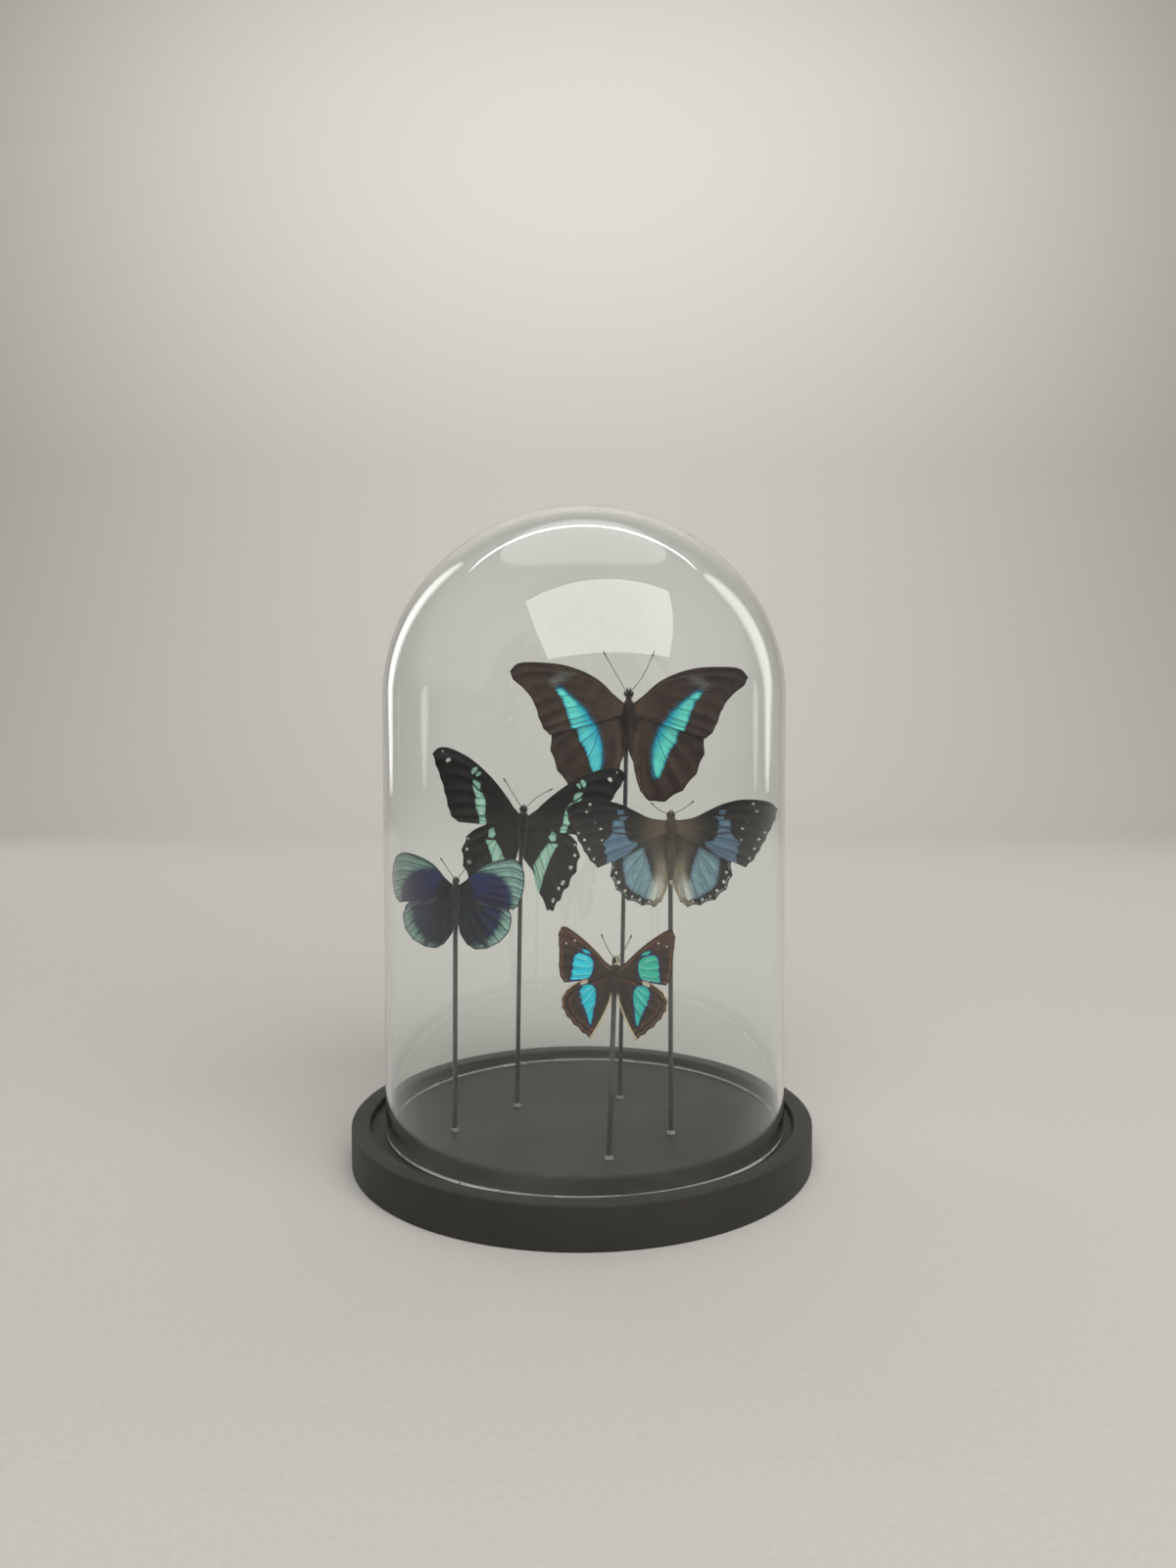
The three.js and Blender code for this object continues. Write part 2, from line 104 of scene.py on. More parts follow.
BUTTERFLIES["prepona"]["hindwing"] = {
    "costa": [(3.4, 0.6), (16, -0.6), (28, -3.6), (35.4, -9.5)],
    "margin": [(35.4, -9.5), (35.5, -17), (33.2, -24.8), (28.8, -32), (22.6, -37.6), (15.6, -41),
               (9.6, -39.8), (6.4, -36)],
    "inner": [(3.4, -4.4), (2.8, -12), (2.6, -20), (3.8, -28), (6.4, -36)],
    "notch": 0.9,
    "marks": {
        "band": [[(16.6, -2), (15.0, -5.3), (12.9, -10.5), (11.6, -15.2), (11.3, -20.9), (11.5, -26.4),
                  (12.6, -29.4), (15.0, -29.8), (16.2, -26.8), (17.8, -22.5), (19.1, -18.7),
                  (20.1, -16.3), (22.1, -13.8), (22.8, -10.9), (23.6, -8.4), (25, -2)]],
        "outer": [[(-60, 60), (-60, -60), (13.0, -60), (14.4, -30.6), (16.2, -26.8), (17.8, -22.5),
                   (19.1, -18.7), (20.1, -16.3), (22.1, -13.8), (22.8, -10.9), (23.6, -8.4), (26, 60)]],
    },
}
BUTTERFLIES["swallowtail"] = {
    "foot": (-29.8, 15.4), "centre": (-26.2, 143.8), "rod_top": -27.2,
    "roll": 2.5, "yaw": 10, "dihedral": 2, "bow": 1.4, "swing": {"left": (0, 2), "right": (-9.5, -2)},
    "thorax": (2.5, 2.6, 5.0), "head": (1.5, 5.6), "abdomen": (1.9, -19.0),
    "leg_pairs": 3,
    "antennae": {
        "left": [(-0.7, 6.2), (-5, 12.6), (-9.6, 19.4)],
        "right": [(0.7, 6.2), (6.4, 11.6), (13, 15.4)],
    },
}
BUTTERFLIES["swallowtail"]["forewing"] = {
    "costa": [(2.9, 3.4), (7.6, 10.7), (15.8, 20.2), (24.9, 27.6), (33.6, 31.7), (38.8, 31.9),
              (41.7, 29.2)],
    "margin": [(41.7, 29.2), (40.3, 24.6), (38, 18.8), (36, 12.6), (34.4, 6.6), (32.6, 2), (29.4, -0.6)],
    "inner": [(2.9, -1.4), (16, -1.4), (29.4, -0.6)],
    "notch": 0.5,
    "marks": {
        "band": [
            [(24.3, 22.6), (23.5, 23.4), (22.4, 24.2), (21.6, 23.7), (21.7, 22.7), (22.9, 21.3),
             (23.8, 20.3), (24.3, 21.4)],
            [(22.4, 20.1), (21.7, 21.5), (20.6, 22.0), (19.9, 21.6), (20.3, 20.6), (21.3, 20.0),
             (22.0, 19.5)],
            [(23.7, 18.3), (22.2, 18.2), (20.6, 17.2), (20.0, 16.5), (20.1, 13.9), (20.8, 14.1),
             (22.1, 15.6), (23.3, 17.0)],
            [(23.7, 16.2), (22.6, 15.0), (21.2, 13.5), (20.4, 13.2), (18.8, 12.0), (18.2, 10.7),
             (20.3, 10.4), (21.9, 10.9), (22.5, 12.5), (23.1, 14.0)],
            [(21.8, 10.2), (20.3, 10.1), (18.0, 10.5), (17.5, 8.7), (17.4, 7.1), (19.8, 7.0), (21.9, 7.1),
             (21.8, 8.0), (22.4, 9.2)],
            [(21.9, 6.7), (19.8, 6.6), (17.4, 6.8), (17.4, 4.8), (17.7, 2.8), (20.0, 2.5), (20.4, 2.8),
             (21.1, 4.7), (21.9, 5.7)],
            [(20.2, 2.1), (17.7, 2.4), (16.9, 0.7), (17.0, -1.4), (19.8, -1.2)],
        ],
        "spots": [(37.2, 30.3, 0.45), (34.5, 26.7, 0.85), (35.0, 26.0, 0.7)],
    },
}
BUTTERFLIES["swallowtail"]["hindwing"] = {
    "costa": [(2.7, 0.8), (9.4, 0.4), (15.6, -1.6), (21.4, -4.4), (25.2, -7.8)],
    "margin": [(25.2, -7.8), (26.9, -13), (26.4, -19), (24, -25.2), (21.2, -30.6), (18.6, -35.6),
               (16.2, -39.6), (13.8, -39.4)],
    "inner": [(2.7, -3.6), (4.2, -13), (6, -21.5), (8.4, -29.6), (11.4, -34), (13.8, -39.4)],
    "notch": 1.1,
    "marks": {
        "band": [
            [(13.2, -3.2), (15.4, -4.4), (15.2, -7.6), (13.0, -8.0), (12.0, -6.0)],
            [(12.0, -8.8), (16.6, -8.8), (15.4, -11.2), (13.2, -16.0), (12.2, -20.0), (11.0, -24.0),
             (10.4, -28.0), (9.4, -32.4), (8.4, -32.0), (7.2, -28.4), (6.6, -24.0), (6.9, -19.0),
             (8.9, -13.3)],
        ],
        "spots": [(24.2, -8.8, 0.6), (24.4, -13.5, 0.7), (23.0, -19.1, 0.95), (20.1, -25.8, 0.85),
                  (19.7, -26.6, 0.8), (18.2, -28.8, 0.75), (16.3, -34.0, 0.65), (16.0, -35.0, 0.6)],
    },
}
BUTTERFLIES["eggfly"] = {
    "foot": (37.7, -19.5), "centre": (37.3, 144.2), "rod_top": 37.4,
    "roll": 0, "yaw": 0, "dihedral": 3, "bow": 1.2, "swing": {"left": (0, 0), "right": (0, 0)},
    "thorax": (2.5, 2.5, 4.6), "head": (1.5, 5.0), "abdomen": (1.8, -26.5),
    "pale_tail": 4.2,
    "leg_pairs": 2,
    "antennae": {
        "left": [(-0.7, 5.6), (-4.6, 7), (-8.2, 10.2)],
        "right": [(0.7, 5.6), (5.2, 7.6), (9.6, 10.9)],
    },
}
BUTTERFLIES["eggfly"]["forewing"] = {
    "costa": [(2.9, 2.8), (9.5, 4.2), (15.2, 7), (21, 9.7), (28, 11.5), (35, 11.5), (40.6, 10.4),
              (43.8, 7.6)],
    "margin": [(43.8, 7.6), (42.9, 3.4), (41, -0.8), (38.8, -5.2), (36.4, -9.6), (34, -13.4),
               (30.8, -16.6)],
    "inner": [(2.9, -2.6), (16, -10.2), (30.8, -16.6)],
    "notch": 0.4,
    "marks": {
        "band": [
            [(20, 7.4), (22.6, 7.4), (22.3, 5.4), (19.6, 5.6)],
            [(18.0, 4.6), (21.6, 4.6), (22.0, 3.6), (19.8, 3.0)],
            [(20.0, 3.2), (24.4, 3.2), (24.6, 0.4), (19.4, 0.6)],
            [(19.4, 0.1), (24.6, -0.1), (24.9, -1.9), (19.2, -2.2)],
            [(19.2, -2.7), (24.6, -2.4), (26.2, -4.2), (28.9, -6.6), (27.2, -8.4), (28, -10.2),
             (26.6, -12), (27.3, -14.6), (24, -14.4), (20.8, -12.7), (17.6, -10.6), (14.4, -7.6),
             (14, -6), (17.2, -5.6)],
        ],
        "spots": [(38.6, -2.0, 0.75), (36.1, -4.9, 0.85), (34.2, -8.8, 0.7), (32.2, -12.9, 0.8),
                  (31.6, 2.2, 0.5), (29.4, -0.5, 0.75), (28.9, -5.1, 0.6), (33.8, 9.8, 0.85),
                  (35.2, 6.7, 0.75)],
    },
}
BUTTERFLIES["eggfly"]["hindwing"] = {
    "costa": [(2.7, -1), (12, -4.6), (20, -9.2), (25, -14.5)],
    "margin": [(25, -14.5), (25.6, -19.4), (24, -24.2), (20.6, -28.6), (15.8, -31.6), (10.6, -33),
               (6.6, -33.4), (3.8, -31.4)],
    "inner": [(2.7, -5.2), (2.3, -14), (2.3, -23), (3.8, -31.4)],
    "notch": 0.9,
    "marks": {
        "band": [[(12, -2), (20, -5), (20.2, -15.5), (19.8, -19.4), (19, -23.5), (16.9, -26), (14, -28),
                  (10.7, -29.6), (6.6, -30.6), (4, -29), (7.6, -22), (9.4, -15), (11.4, -9)]],
        "spots": [(23, -18.7, 0.75), (23.9, -20.9, 0.55), (21.9, -22.7, 0.8), (22.7, -24.9, 0.55),
                  (19.2, -26.3, 0.8), (20.3, -28.1, 0.5), (16.2, -28.8, 0.75), (16.6, -30.5, 0.5),
                  (13.1, -30.1, 0.75), (12.8, -31.9, 0.5), (9.2, -31.0, 0.7), (8.9, -32.6, 0.5),
                  (6.1, -31.9, 0.6)],
    },
}
BUTTERFLIES["asterope"] = {
    "foot": (-54.6, -15.3), "centre": (-53.0, 117.0), "rod_top": -53.5,
    "roll": 0, "yaw": -6, "dihedral": -5, "bow": 0.8, "swing": {"left": (3, 1), "right": (-3, -1)},
    "thorax": (1.9, 2.0, 3.9), "head": (1.25, 4.4), "abdomen": (1.4, -20.0),
    "leg_pairs": 2,
    "antennae": {
        "left": [(-0.6, 5), (-3.4, 9.4), (-6.6, 14)],
        "right": [(0.6, 5), (3.8, 9.2), (7, 13.8)],
    },
}
BUTTERFLIES["asterope"]["forewing"] = {
    "costa": [(2.3, 2.6), (8.5, 9.6), (13.4, 12.7), (18.9, 14.5), (24, 14.9), (27.3, 12.8)],
    "margin": [(27.3, 12.8), (28.5, 9.2), (28.8, 5.4), (28.5, 1.6), (27.7, -1.9), (26.5, -4.7),
               (24.5, -6.6)],
    "inner": [(2.3, -1.6), (13.5, -4.6), (24.5, -6.6)],
    "notch": 0.1,
    "marks": {
        "disc": [[(0, 6), (4.5, 7.4), (8.5, 8.6), (12.4, 8.7), (16.2, 8.0), (19.3, 6.2), (21.5, 3.6),
                  (23, 0.6), (23.5, -3), (23.2, -9), (0, -9)]],
    },
}
BUTTERFLIES["asterope"]["hindwing"] = {
    "costa": [(2.1, 0), (10, -1.2), (17.4, -3.2), (22.3, -6.8)],
    "margin": [(22.3, -6.8), (23.6, -11), (23, -15.6), (20.6, -19.6), (16.6, -22.7), (12, -24.4),
               (8.2, -24.4), (5, -22.6)],
    "inner": [(2.1, -4), (1.9, -11), (2.6, -17.6), (5, -22.6)],
    "notch": 0.15,
    "marks": {
        "disc": [[(0, 4), (18, 3), (18.6, -8), (18.6, -11.7), (17.6, -14.6), (15.4, -17.5), (13.2, -19.7),
                  (10.5, -21.2), (7.8, -21.8), (4, -22.6), (0, -20)]],
        "strip": [[(5, -1), (10, -5.2), (14, -6.5), (19, -8.1), (23, -9.4), (24, -6), (20, 0)]],
    },
}
BUTTERFLIES["emperor"] = {
    "foot": (10.6, -47.0), "centre": (13.2, 89.2), "rod_top": 13.2,
    "roll": 2, "yaw": 0, "dihedral": 4, "bow": 0.8, "swing": {"left": (0, 0), "right": (0, 0)},
    "thorax": (1.9, 2.0, 3.8), "head": (1.25, 4.6), "abdomen": (1.3, -12.4),
    "tongue": [[(-0.2, -1.0, 7.2), (0.3, -1.3, 5.6), (0.8, -1.6, 4.3), (1.6, -1.5, 3.0)],
               [(1.0, -1.6, 4.0), (0.5, -1.7, 3.9), (0.1, -1.7, 3.7), (-0.5, -1.6, 3.5)]],
    "leg_pairs": 2,
    "antennae": {
        "left": [(-0.6, 5.2), (-3.6, 9.8), (-6, 15)],
        "right": [(0.6, 5.2), (3.6, 9.8), (6, 15)],
    },
}
BUTTERFLIES["emperor"]["forewing"] = {
    "costa": [(2.3, 2.2), (7, 7.6), (11.5, 11.9), (15.8, 15.3), (19.6, 17.7), (21.8, 17.9)],
    "margin": [(21.8, 17.9), (22.9, 15.2), (22.7, 11), (22.4, 6.8), (22.4, 2.6), (21.7, -1.6),
               (20, -4.2)],
    "inner": [(2.3, -1.4), (11, -2.8), (20, -4.2)],
    "notch": 0.2,
    "marks": {
        "band": [
            [(14.6, 7.7), (12.4, 7.1), (10.9, 6.7), (9.5, 5.3), (8.9, 4.0), (9.1, 1.5), (9.6, -0.8),
             (10.7, -2.0), (13.8, -2.6), (17.2, -3.0), (17.6, -2.2), (16.9, -0.8), (17.2, 0.5),
             (16.5, 1.9), (17.0, 3.2), (16.4, 4.6), (16.7, 5.8), (15.7, 7.0)],
            [(13.6, 9.2), (11.7, 8.9), (10.4, 8.2), (10.2, 7.5), (11.4, 7.6), (12.7, 8.2)],
        ],
        "cream": [[(10.9, -2.2), (13.4, -2.4), (13.4, -6), (10.9, -6)]],
        "spots": [(16.4, 12.6, 0.5), (19.7, 11.4, 0.45)],
    },
}
BUTTERFLIES["emperor"]["hindwing"] = {
    "costa": [(2.1, 0.6), (8.5, -1.4), (14.5, -4), (19, -7.2)],
    "margin": [(19, -7.2), (20.9, -10.8), (20.5, -14.4), (18.6, -17.8), (15.8, -21), (12.4, -24),
               (9.2, -26.8)],
    "inner": [(2.1, -3), (1.8, -8), (2, -12.8), (4.6, -19), (7.2, -23.8), (9.2, -26.8)],
    "notch": 0.5,
    "marks": {
        "band": [[(12.8, -5.4), (10.9, -4.9), (8.7, -5.3), (7.6, -6.9), (7.4, -9.6), (7.8, -12.3),
                  (8.2, -15.4), (8.5, -18.1), (9.2, -21.0), (10.2, -18.2), (11.2, -15.4), (12.0, -13.3),
                  (13.0, -12.2), (12.6, -11.1), (13.7, -9.7), (13.1, -8.9), (13.8, -7.6), (13.3, -6.7)]],
        "cream": [[(10.6, -0.6), (13.8, -1.6), (13.6, -5.2), (10.8, -5.0)]],
    },
}

# How far in front of the body's axis the wings lie, in millimetres, as the solids' do.
FOREWING_LIFT = 0.5
HINDWING_LIFT = -0.7

# The rods, in millimetres: the air between thorax and rod, the rod's top above the thorax centre, and how
# deep its foot is let into the base.
ROD_GAP = 0.3
ROD_ABOVE_CENTRE = 1.2
ROD_PLUG = 6.0

# Every wing's margin has this many hollows, with a vein at each tip between two of them.
SCALLOPS = 6

# The veins as lines of (share, reach): share runs from the front edge (0) to the inner edge (1), reach from
# the root (0) to the margin (1). They leave the cell in the wing's middle, closed on a forewing and open on
# a hindwing, and end at the tips between the margin's hollows.
FOREWING_VEINS = [
    [(0.05, 0), (0.06, 0.35), (0.02, 0.72)],
    [(0.12, 0), (0.13, 0.25), (1 / 6, 0.44), (1 / 6, 1)],
    [(1 / 6, 0.44), (0.25, 0.45), (1 / 3, 0.48), (1 / 3, 1)],
    [(1 / 3, 0.48), (0.42, 0.49), (1 / 2, 0.46), (1 / 2, 1)],
    [(0.55, 0), (0.58, 0.2), (0.57, 0.34), (1 / 2, 0.46)],
    [(0.575, 0.3), (0.63, 0.4), (2 / 3, 0.52), (2 / 3, 1)],
    [(0.58, 0.2), (0.72, 0.33), (5 / 6, 0.48), (5 / 6, 1)],
    [(0.85, 0), (0.93, 0.5), (0.955, 1)],
]
HINDWING_VEINS = [
    [(0.12, 0), (0.13, 0.28), (1 / 6, 0.5), (1 / 6, 1)],
    [(0.3, 0), (0.29, 0.24), (1 / 3, 0.44), (1 / 3, 1)],
    [(0.31, 0.28), (0.41, 0.40), (0.49, 0.56), (1 / 2, 1)],
    [(0.61, 0.12), (0.64, 0.32), (2 / 3, 0.55), (2 / 3, 1)],
    [(0.62, 0.2), (0.74, 0.32), (5 / 6, 0.46), (5 / 6, 1)],
    [(0.85, 0), (0.92, 0.5), (0.945, 0.98)],
]

# ---- the wings' colours ----
# A coat is a ground of two tones and the layers of scales on it, each (colour, strength, raggedness in mm,
# conditions). A condition is (attribute, value where the layer starts, value where it is full), in mm. All
# four wings of a butterfly share a coat on each face, and "hind" is 0 on the forewings, 1 on the hindwings.
ON_FOREWING = ("hind", 1.0, 0.5)
ON_HINDWING = ("hind", 0.5, 1.0)

COATS = {}
COATS["prepona", "upper"] = {
    "ground": ("#30231b", "#433126"),
    "layers": [
        ("#57463a", 0.50, 0.5, [("root", 17, 4)]),
        ("#6f6250", 0.30, 0.9, [ON_HINDWING, ("inner", 3.4, 2.2), ("inner", 0.3, 1.0), ("root", 8, 12)]),
        ("#7d8a86", 0.30, 1.3, [("haze", -1.2, 1.6)]),
        ("#0e5a78", 0.90, 0.6, [("band", -1.9, 0.7), ("outer", -0.15, 0.15)]),
        ("#1badc2", 0.95, 0.4, [("band", -0.5, 1.5), ("outer", -0.1, 0.2)]),
        ("#66dccb", 1.00, 0.5, [("band", 0.0, 1.6), ("outer", -0.1, 0.3), ("outer", 8.5, 3.5)]),
        # Painted iridescent sheen: a bluer cast on the left wings only, stronger lower down.
        ("#3fb9e2", 0.40, 0.0, [("band", 0.0, 1.0), ("outer", -0.1, 0.3), ("green", 1, 0),
                                ("height", 7, -14)]),
        ("#0c2b33", 0.80, 0.0, [("vein", 0.30, 0.10), ("band", -0.5, 0.5)]),
        ("#123c44", 0.45, 0.0, [("fold", 0.22, 0.05), ("band", 0.0, 1.0)]),
        ("#120c08", 0.80, 0.0, [("edge", 0.8, 0.15)]),
    ],
}
COATS["prepona", "under"] = {
    "ground": ("#7d6f5d", "#94866f"),
    "layers": [
        ("#a9a48f", 0.6, 0.5, [("band", -0.6, 0.6)]),
        ("#4f4235", 0.7, 0.3, [("outer", -1.0, -0.4), ("outer", 0.8, 0.2)]),
        ("#a39882", 0.5, 0.4, [("edge", 4.6, 4.0), ("edge", 2.2, 2.8)]),
        ("#4b3d30", 0.8, 0.0, [("vein", 0.28, 0.10)]),
        ("#54473a", 0.7, 0.0, [("edge", 1.4, 0.4)]),
    ],
}
COATS["swallowtail", "upper"] = {
    "ground": ("#0d0c0b", "#1b1916"),
    "layers": [
        ("#2a2a24", 0.5, 0.5, [("root", 14, 3)]),
        ("#92c3ab", 1.0, 0.20, [("band", -0.15, 0.2)]),
        ("#bbdccc", 0.60, 0.4, [("band", 0.3, 1.3)]),
        ("#15241d", 0.8, 0.0, [("vein", 0.24, 0.08), ("band", -0.5, 0.5)]),
        ("#3f6a55", 0.35, 0.0, [("fold", 0.20, 0.05), ("band", -0.2, 0.5)]),
        ("#cdd2c4", 0.95, 0.28, [("spots", -0.16, 0.22)]),
        ("#080807", 0.7, 0.0, [("edge", 0.6, 0.1)]),
    ],
}
COATS["swallowtail", "under"] = {
    "ground": ("#3b3026", "#52443a"),
    "layers": [
        ("#8fb59c", 1.0, 0.2, [("band", -0.2, 0.2)]),
        ("#dcdcc8", 1.0, 0.12, [("spots", -0.12, 0.15)]),
        ("#1f1913", 0.8, 0.0, [("vein", 0.28, 0.10)]),
    ],
}
COATS["eggfly", "upper"] = {
    "ground": ("#191617", "#292524"),
    "layers": [
        ("#6f604c", 0.80, 0.6, [("root", 17, 3)]),
        ("#5e7a90", 0.95, 0.35, [("band", -0.15, 0.3)]),
        ("#8eabb8", 0.50, 0.6, [("band", 0.3, 1.6), ("height", -5, 1)]),
        ("#84a7ae", 0.78, 0.4, [ON_HINDWING, ("band", -0.9, 2.2)]),
        ("#a99c83", 0.70, 0.4, [ON_HINDWING, ("inner", 6.5, 1.5), ("root", 9, 19)]),
        ("#d8d8cc", 0.80, 0.4, [ON_HINDWING, ("inner", 7.6, 3.4), ("inner", 0.5, 2.2),
                                ("height", -18, -26), ("edge", 1.8, 2.6)]),
        ("#23303c", 0.60, 0.0, [("vein", 0.24, 0.08), ("band", -0.5, 0.5)]),
        ("#b9beb8", 0.60, 0.12, [ON_HINDWING, ("edge", 1.05, 0.85), ("edge", 0.50, 0.68),
                                 ("vein", 0.5, 1.0)]),
        ("#d3d5cb", 0.90, 0.25, [("spots", 0.05, 0.42)]),
        ("#171415", 0.85, 0.0, [("edge", 0.5, 0.15)]),
    ],
}
COATS["eggfly", "under"] = {
    "ground": ("#5d4a38", "#6f5b46"),
    "layers": [
        ("#a79f8f", 0.8, 0.3, [("band", -0.3, 0.8)]),
        ("#8c7b66", 0.5, 0.3, [("edge", 3.4, 3.0), ("edge", 1.8, 2.2)]),
        ("#f1f0e8", 1.0, 0.1, [("spots", -0.1, 0.16)]),
        ("#352a20", 0.8, 0.0, [("vein", 0.28, 0.10)]),
        ("#2b221b", 0.8, 0.0, [("edge", 0.9, 0.3)]),
    ],
}
COATS["asterope", "upper"] = {
    "ground": ("#78a196", "#94b9ad"),
    "layers": [
        ("#b2d3cd", 0.60, 0.5, [ON_HINDWING, ("edge", 3.0, 0.8)]),
        ("#54706c", 0.55, 0.5, [ON_FOREWING, ("edge", 1.9, 0.6), ("height", 8, 13)]),
        ("#1f4a5c", 0.85, 0.9, [("disc", -2.2, 0.1)]),
        ("#0f1d50", 1.00, 0.4, [("disc", -0.5, 0.5)]),
        ("#0b0e3a", 0.95, 0.7, [ON_FOREWING, ("disc", 0.9, 3.6)]),
        ("#17336f", 0.45, 1.0, [("disc", 0.5, 1.0), ("root", 18, 13), ("root", 6, 9), ("height", -2, 3)]),
        ("#1d1838", 0.35, 1.0, [("disc", 2.0, 4.0), ("height", 0, 5)]),
        ("#0c0d12", 0.92, 0.6, [("root", 10, 5)]),
        ("#090a10", 0.95, 1.0, [ON_HINDWING, ("inner", 12.5, 7.5)]),
        ("#6d7088", 0.80, 0.3, [("strip", -0.2, 0.6)]),
        ("#101c22", 0.90, 0.0, [("vein", 0.30, 0.12), ("disc", 0.4, -0.4)]),
        ("#14262c", 0.85, 0.3, [ON_HINDWING, ("vein", 0.95, 0.35), ("disc", -2.6, -0.5)]),
        ("#23423f", 0.60, 0.0, [("fold", 0.26, 0.06), ("disc", 0.2, -0.8)]),
        ("#14262c", 0.60, 0.3, [ON_HINDWING, ("fold", 0.55, 0.20), ("disc", -2.2, -0.4)]),
        ("#0c1214", 0.97, 0.0, [("edge", 0.60, 0.32)]),
    ],
}
COATS["asterope", "under"] = {
    "ground": ("#a88f62", "#b99f70"),
    "layers": [
        ("#8aa59d", 0.6, 0.4, [("disc", 0.3, -0.6)]),
        ("#8c3f24", 0.6, 0.8, [ON_FOREWING, ("root", 15, 9)]),
        ("#33291c", 0.7, 0.3, [("disc", 1.0, 1.4), ("disc", 2.6, 2.2)]),
        ("#2c2418", 0.85, 0.0, [("vein", 0.26, 0.10)]),
        ("#1d1812", 0.9, 0.0, [("edge", 0.7, 0.3)]),
    ],
}
COATS["emperor", "upper"] = {
    "ground": ("#20120a", "#382112"),
    "layers": [
        ("#3d2f17", 0.65, 0.5, [("root", 11, 3)]),
        ("#713a24", 0.60, 0.5, [ON_HINDWING, ("edge", 3.6, 3.1), ("edge", 2.3, 2.7)]),
        ("#120905", 0.80, 0.4, [ON_HINDWING, ("edge", 2.5, 2.1), ("edge", 1.3, 1.7)]),
        ("#7a5132", 0.65, 0.4, [("edge", 1.5, 1.1), ("edge", 0.5, 0.8)]),
        ("#5f3a22", 0.45, 1.2, [ON_FOREWING, ("height", 8.5, 12)]),
        ("#f3ead2", 1.0, 0.15, [("cream", -0.15, 0.2)]),
        ("#101c66", 0.90, 0.5, [("band", -1.0, -0.1)]),
        ("#00cfe4", 1.0, 0.22, [("band", -0.15, 0.15)]),
        # Painted iridescent sheen: the right wings' blue patches painted green.
        ("#2fbf9a", 0.95, 0.0, [("green", 0.0, 1.0), ("band", -0.15, 0.15)]),
        ("#0aa9ae", 0.50, 0.5, [ON_HINDWING, ("band", 1.3, 0.1), ("band", -0.15, 0.15)]),
        ("#b4fbf4", 0.42, 0.0, [("vein", 0.26, 0.10), ("band", 0.1, 0.7)]),
        ("#07707c", 0.35, 0.0, [("fold", 0.22, 0.06), ("band", 0.2, 0.8)]),
        ("#d6d2c4", 1.0, 0.15, [("spots", -0.1, 0.2)]),
        ("#b89a6c", 0.75, 0.2, [ON_HINDWING, ("edge", 0.55, 0.25), ("height", -17, -12)]),
        ("#d9cba8", 0.85, 0.1, [ON_HINDWING, ("inner", 0.9, 0.5), ("root", 8, 11)]),
    ],
}
COATS["emperor", "under"] = {
    "ground": ("#8a7358", "#a58c6c"),
    "layers": [
        ("#d9cdb2", 0.8, 0.3, [("band", -0.4, 0.6)]),
        ("#5c4530", 0.6, 0.3, [("edge", 3.2, 2.8), ("edge", 1.9, 2.3)]),
        ("#f3ead2", 1.0, 0.15, [("cream", -0.15, 0.2)]),
        ("#4c3826", 0.8, 0.0, [("vein", 0.24, 0.10)]),
        ("#4a3626", 0.6, 0.0, [("edge", 0.8, 0.3)]),
    ],
}

# Painted iridescent sheen: how far the right forewing's and hindwing's structural blue is painted turned
# green, as it looks at their angle to the light; the left wings stay blue.
PAINTED_SHEEN_GREEN = {"prepona": (1.0, 1.0), "emperor": (1.0, 0.7)}

# A body's materials in their order, then the two tones of its fur and the colour of its horny parts.
FUR, EYE, HORN, PALE = range(4)
BODY_COLOURS = {
    "prepona": ("#2e241b", "#1c1510", "#15100c"),
    "swallowtail": ("#22201c", "#161412", "#100f0e"),
    "eggfly": ("#5b4c3c", "#473a2e", "#1d1712"),
    "asterope": ("#24262b", "#2b2c2c", "#131314"),
    "emperor": ("#3a2d1b", "#31261a", "#17120c"),
}

FAN_UV = "WingFan"


# ---- shared helpers ----
def add_node(tree, kind, inputs=(), **settings):
    """Adds a node with its settings, and links or sets its inputs, given by name or number.

    A node that is given as an input stands for its first output.
    """
    node = tree.nodes.new(kind)
    for name, value in settings.items():
        setattr(node, name, value)
    for key, value in dict(inputs).items():
        if isinstance(value, bpy.types.Node):
            value = value.outputs[0]
        if isinstance(value, bpy.types.NodeSocket):
            tree.links.new(value, node.inputs[key])
        else:
            node.inputs[key].default_value = value
    return node


def new_material(name):
    """An empty material and its node tree."""
    material = bpy.data.materials.new(name)
    material.use_nodes = True
    material.node_tree.nodes.clear()
    return material, material.node_tree


def deselect():
    """Leaves nothing selected, so that the next operator acts on its own piece alone."""
    if bpy.context.object and bpy.context.object.mode != "OBJECT":
        bpy.ops.object.mode_set(mode="OBJECT")
    bpy.ops.object.select_all(action="DESELECT")


def pick(piece):
    """Selects one piece and makes it active."""
    deselect()
    piece.select_set(True)
    bpy.context.view_layer.objects.active = piece


def new_piece(name):
    """Names the primitive that was just added and puts its place into its mesh."""
    piece = bpy.context.object
    piece.name = name
    piece.data.name = name
    bpy.ops.object.transform_apply(location=True, rotation=True, scale=True)
    return piece


def select_faces(piece, wanted):
    """In edit mode, selects the faces for which wanted(face) is true."""
    bpy.ops.mesh.select_mode(type="FACE")
    bpy.ops.mesh.select_all(action="DESELECT")
    bpy.ops.object.mode_set(mode="OBJECT")
    for face in piece.data.polygons:
        face.select = wanted(face)
    bpy.ops.object.mode_set(mode="EDIT")


def select_edges(piece, wanted):
    """In edit mode, selects the edges for which wanted(end, other end) is true."""
    bpy.ops.mesh.select_mode(type="EDGE")
    bpy.ops.mesh.select_all(action="DESELECT")
    bpy.ops.object.mode_set(mode="OBJECT")
    vertices = piece.data.vertices
    for edge in piece.data.edges:
        edge.select = wanted(vertices[edge.vertices[0]].co, vertices[edge.vertices[1]].co)
    bpy.ops.object.mode_set(mode="EDIT")


